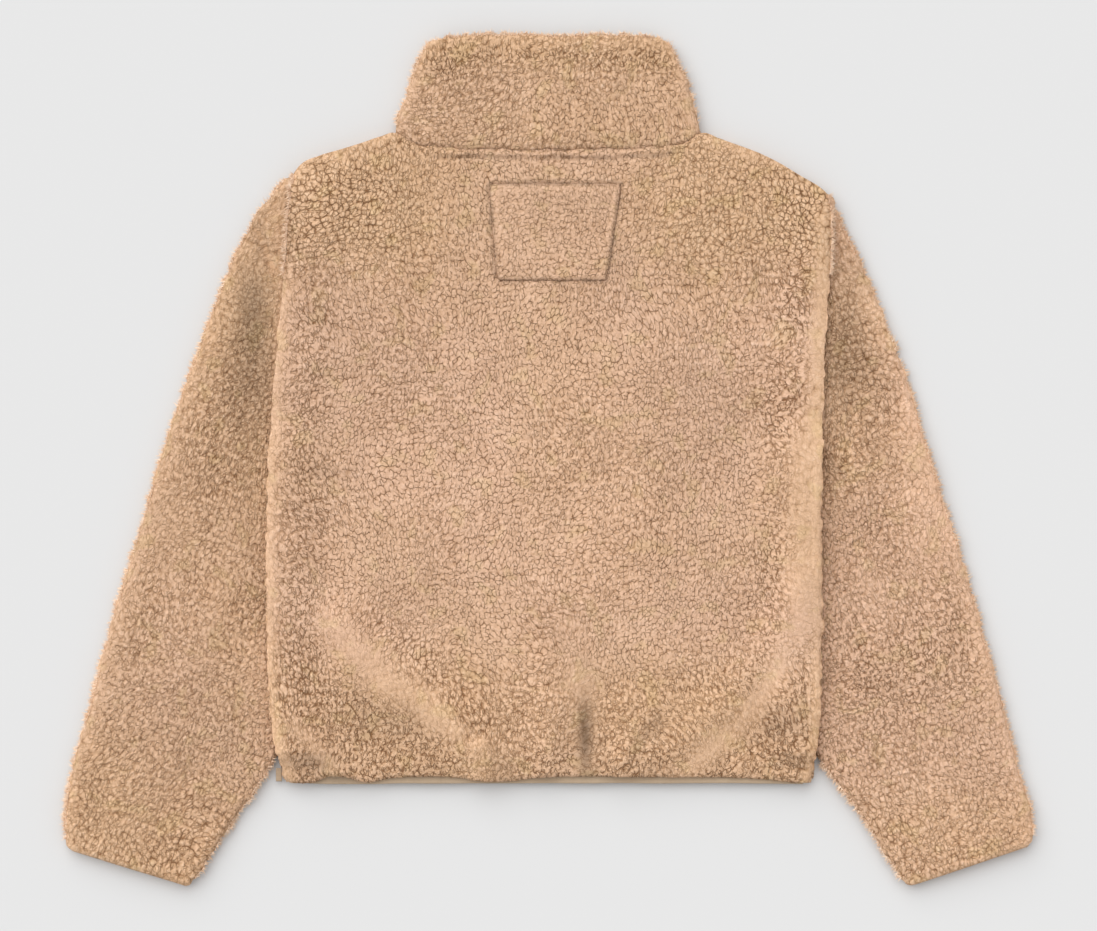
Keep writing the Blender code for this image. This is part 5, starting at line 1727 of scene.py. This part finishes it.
@dataclass
class Jacket:
    """The jacket's sheets, bindings and zip, each with its finish."""

    back: BackPanel = field(default_factory=BackPanel)
    patch: BackPatch = field(default_factory=BackPatch)
    collar: Collar = field(default_factory=Collar)
    hem: HemBinding = field(default_factory=HemBinding)
    loop: SideLoop = field(default_factory=SideLoop)
    pile: bpy.types.Material = field(default_factory=SherpaFinish().material)
    fibres: bpy.types.Material = field(default_factory=FibreFinish().material)
    binding: bpy.types.Material = field(default_factory=WovenFinish(
        "taupe_binding", (0.56, 0.43, 0.30), (0.42, 0.31, 0.21), 900.0).material)
    cuts: list[Cut] = field(default_factory=list)

    def lay(self, name: str, sheet: Sheet, wall: float, step: int, nap: Pile, node: str, flat: Point,
            under: tuple[str, ...] = (), fringe: Fringe | None = None, kept: Array | None = None) -> None:
        """Make one sheet of sherpa, with its fringe, and note its cut.

        Args:
            name: The piece's name.
            sheet: Its outer face.
            wall: Its thickness in millimetres.
            step: How many steps of the outer face one step of the backing spans.
            nap: The pile on it.
            node: The CAD node that it stands for.
            flat: Its flat size in metres.
            under: The pieces that it lies on.
            fringe: The loose fibres at its edges.
            kept: Where the fibres may stand.
        """
        piece = dressed(clothed(name, sheet, wall, step, nap), self.pile, "pile", node)
        carried = []
        if fringe is not None:
            carried = [dressed(fringe.piece(f"{name}_fringe", sheet, nap, kept), self.fibres, "pile")]
        self.cuts.append(Cut(piece, sheet, flat, under, carried=carried))

    def bind(self, name: str, sheet: Sheet, wall: float, material: bpy.types.Material, node: str, flat: Point,
             under: tuple[str, ...] = (), held: str = "laid") -> None:
        """Make one plain woven binding or loop, and note its cut.

        Args:
            name: The piece's name.
            sheet: Its outer face.
            wall: Its thickness in millimetres.
            material: Its finish.
            node: The CAD node that it stands for.
            flat: Its flat size in metres.
            under: The pieces that it lies on.
            held: How it is held.
        """
        piece = dressed(clothed(name, sheet, wall, 1), material, "binding", node)
        self.cuts.append(Cut(piece, sheet, flat, under, held))

    def build(self) -> None:
        fronts = tuple(f"front_pile_{side}" for side in SIDE_NAMES.values())
        tubes = tuple(f"sleeve_pile_{side}" for side in SIDE_NAMES.values())
        face = self.back.sheet(self.patch)
        self.lay("back_pile", face, self.back.wall, 4, self.back.pile(face, self.patch), "back_panel",
                 (0.50, 0.57), fronts + tubes, Fringe(1400, 11), face.ground[1] > 160.0)
        for side, name in SIDE_NAMES.items():
            front = Front(side)
            face = front.sheet()
            self.lay(f"front_pile_{name}", face, front.wall, 2, front.pile(face), f"front_{name}",
                     (0.25, 0.56))
        for sleeve in (Sleeve(-1, LEFT_ROWS, LEFT_DRAPE, LEFT_TONES_AND_SHADE, 200, -24.0, 0.4, -0.03),
                       Sleeve(1, RIGHT_ROWS, RIGHT_DRAPE, RIGHT_TONES_AND_SHADE, 300, 20.0, 0.0, 0.02)):
            name = SIDE_NAMES[sleeve.side]
            face = sleeve.sheet()
            self.lay(f"sleeve_pile_{name}", face, sleeve.wall, 4, sleeve.pile(face), f"sleeve_{name}",
                     (0.54, 0.62), (f"front_pile_{name}",), Fringe(3200, 20 + sleeve.side),
                     sleeve.outside(*face.ground) > 5.0)
            ring = CuffBinding(sleeve)
            self.bind(f"cuff_band_{name}", ring.sheet(), ring.wall, self.binding, f"cuff_binding_{name}",
                      (0.20, 0.0125), (f"sleeve_pile_{name}",))
        face = self.collar.sheet()
        self.lay("collar_pile", face, self.collar.wall, 4, self.collar.pile(face), "collar", (0.52, 0.115),
                 fringe=Fringe(2300, 31, True), kept=face.ground[1] > 274.0)
        face = self.patch.sheet(self.back)
        self.lay("patch_pile", face, self.patch.wall, 4, self.patch.pile(face), "back_patch", (0.115, 0.085),
                 ("back_pile",))
        self.bind("hem_band", self.hem.sheet(), self.hem.wall, self.binding, "hem_binding",
                  (0.89, 0.0115), fronts)
        woven = WovenFinish("woven_loop", (0.50, 0.37, 0.25), (0.38, 0.27, 0.18), 1400.0, 1).material()
        self.bind("side_loop", self.loop.sheet(), self.loop.tape, woven, "side_label", (0.0115, 0.0128),
                  held="folded")
        self.zip()
        for cut in self.cuts:
            cut.declare()

    def zip(self) -> None:
        """Dress the zip, which lies under the jacket."""
        tape = WovenFinish("zip_tape_weave", (0.48, 0.36, 0.24), (0.36, 0.26, 0.17), 1100.0, 1).material()
        teeth = CastFinish("moulded_teeth", (0.42, 0.31, 0.20), 0.0, 0.4).material()
        metal = CastFinish("dull_cast_metal", (0.45, 0.42, 0.38), 1.0, 0.3).material()
        dressed(ZipTeeth().piece(), teeth, "zip_chain", "zip_chain")
        for node, material in (("zip_tape_left", tape), ("zip_tape_right", tape), ("zip_slider", metal),
                               ("zip_pull", metal)):
            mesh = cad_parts[node].data
            mesh.materials.clear()
            mesh.materials.append(material)


# --- studio --------------------------------------------------------------------------------------


@dataclass
class Studio:
    """A pale floor, soft light from overhead and a camera that looks straight down.

    The floor's half width and the lamp's distance are in metres, and the other sizes in millimetres.
    """

    lens: float = 120.0
    sensor: float = 36.0
    focus_height: float = 8.0
    floor_half: float = 6.0
    floor_drop: float = 0.2
    floor: Colour = (0.655, 0.655, 0.655)
    sky: float = 0.66
    key: float = 2.39
    key_spread: float = 75.0
    key_from: tuple = (-0.34, 0.56, 0.76)
    key_away: float = 3.0

    def build(self) -> None:
        """Add the floor, the lights and the camera."""
        bpy.ops.object.select_all(action="DESELECT")
        bpy.ops.mesh.primitive_plane_add(size=2.0 * self.floor_half)
        floor = bpy.context.active_object
        floor.name = "floor"
        paper = Graph("pale_paper")
        floor.data.materials.append(
            paper.surface(Base_Color=(*self.floor, 1.0), Roughness=1.0, Specular_IOR_Level=0.0))
        for vertex in floor.data.vertices:
            vertex.co.z = -self.floor_drop * MM

        world = bpy.data.worlds.new("soft_room")
        world.use_nodes = True
        background = world.node_tree.nodes["Background"].inputs
        background["Color"].default_value = (1.0, 1.0, 1.0, 1.0)
        background["Strength"].default_value = self.sky
        bpy.context.scene.world = world

        lamp = bpy.data.lights.new("wide_softbox", "SUN")
        lamp.energy = self.key
        lamp.angle = math.radians(self.key_spread)
        light = bpy.data.objects.new("wide_softbox", lamp)
        light.location = Vector(self.key_from) * self.key_away
        light.rotation_euler = Vector(self.key_from).to_track_quat("Z", "Y").to_euler()
        bpy.context.scene.collection.objects.link(light)

        lens = bpy.data.cameras.new("overhead_camera")
        lens.lens = self.lens
        lens.sensor_width = self.sensor
        lens.clip_end = 50.0
        camera = bpy.data.objects.new("overhead_camera", lens)
        width = IMAGE_WIDTH * MM_PER_PIXEL
        away = width * self.lens / self.sensor + self.focus_height
        camera.location = (IMAGE_MIDDLE_MM[0] * MM, IMAGE_MIDDLE_MM[1] * MM, away * MM)
        bpy.context.scene.collection.objects.link(camera)
        bpy.context.scene.camera = camera
        bpy.context.scene.view_settings.view_transform = "Standard"


def main() -> None:
    """Build the jacket and the studio."""
    logging.basicConfig(level=logging.INFO, format="%(message)s")
    Jacket().build()
    Studio().build()


if __name__ == "__main__":
    main()
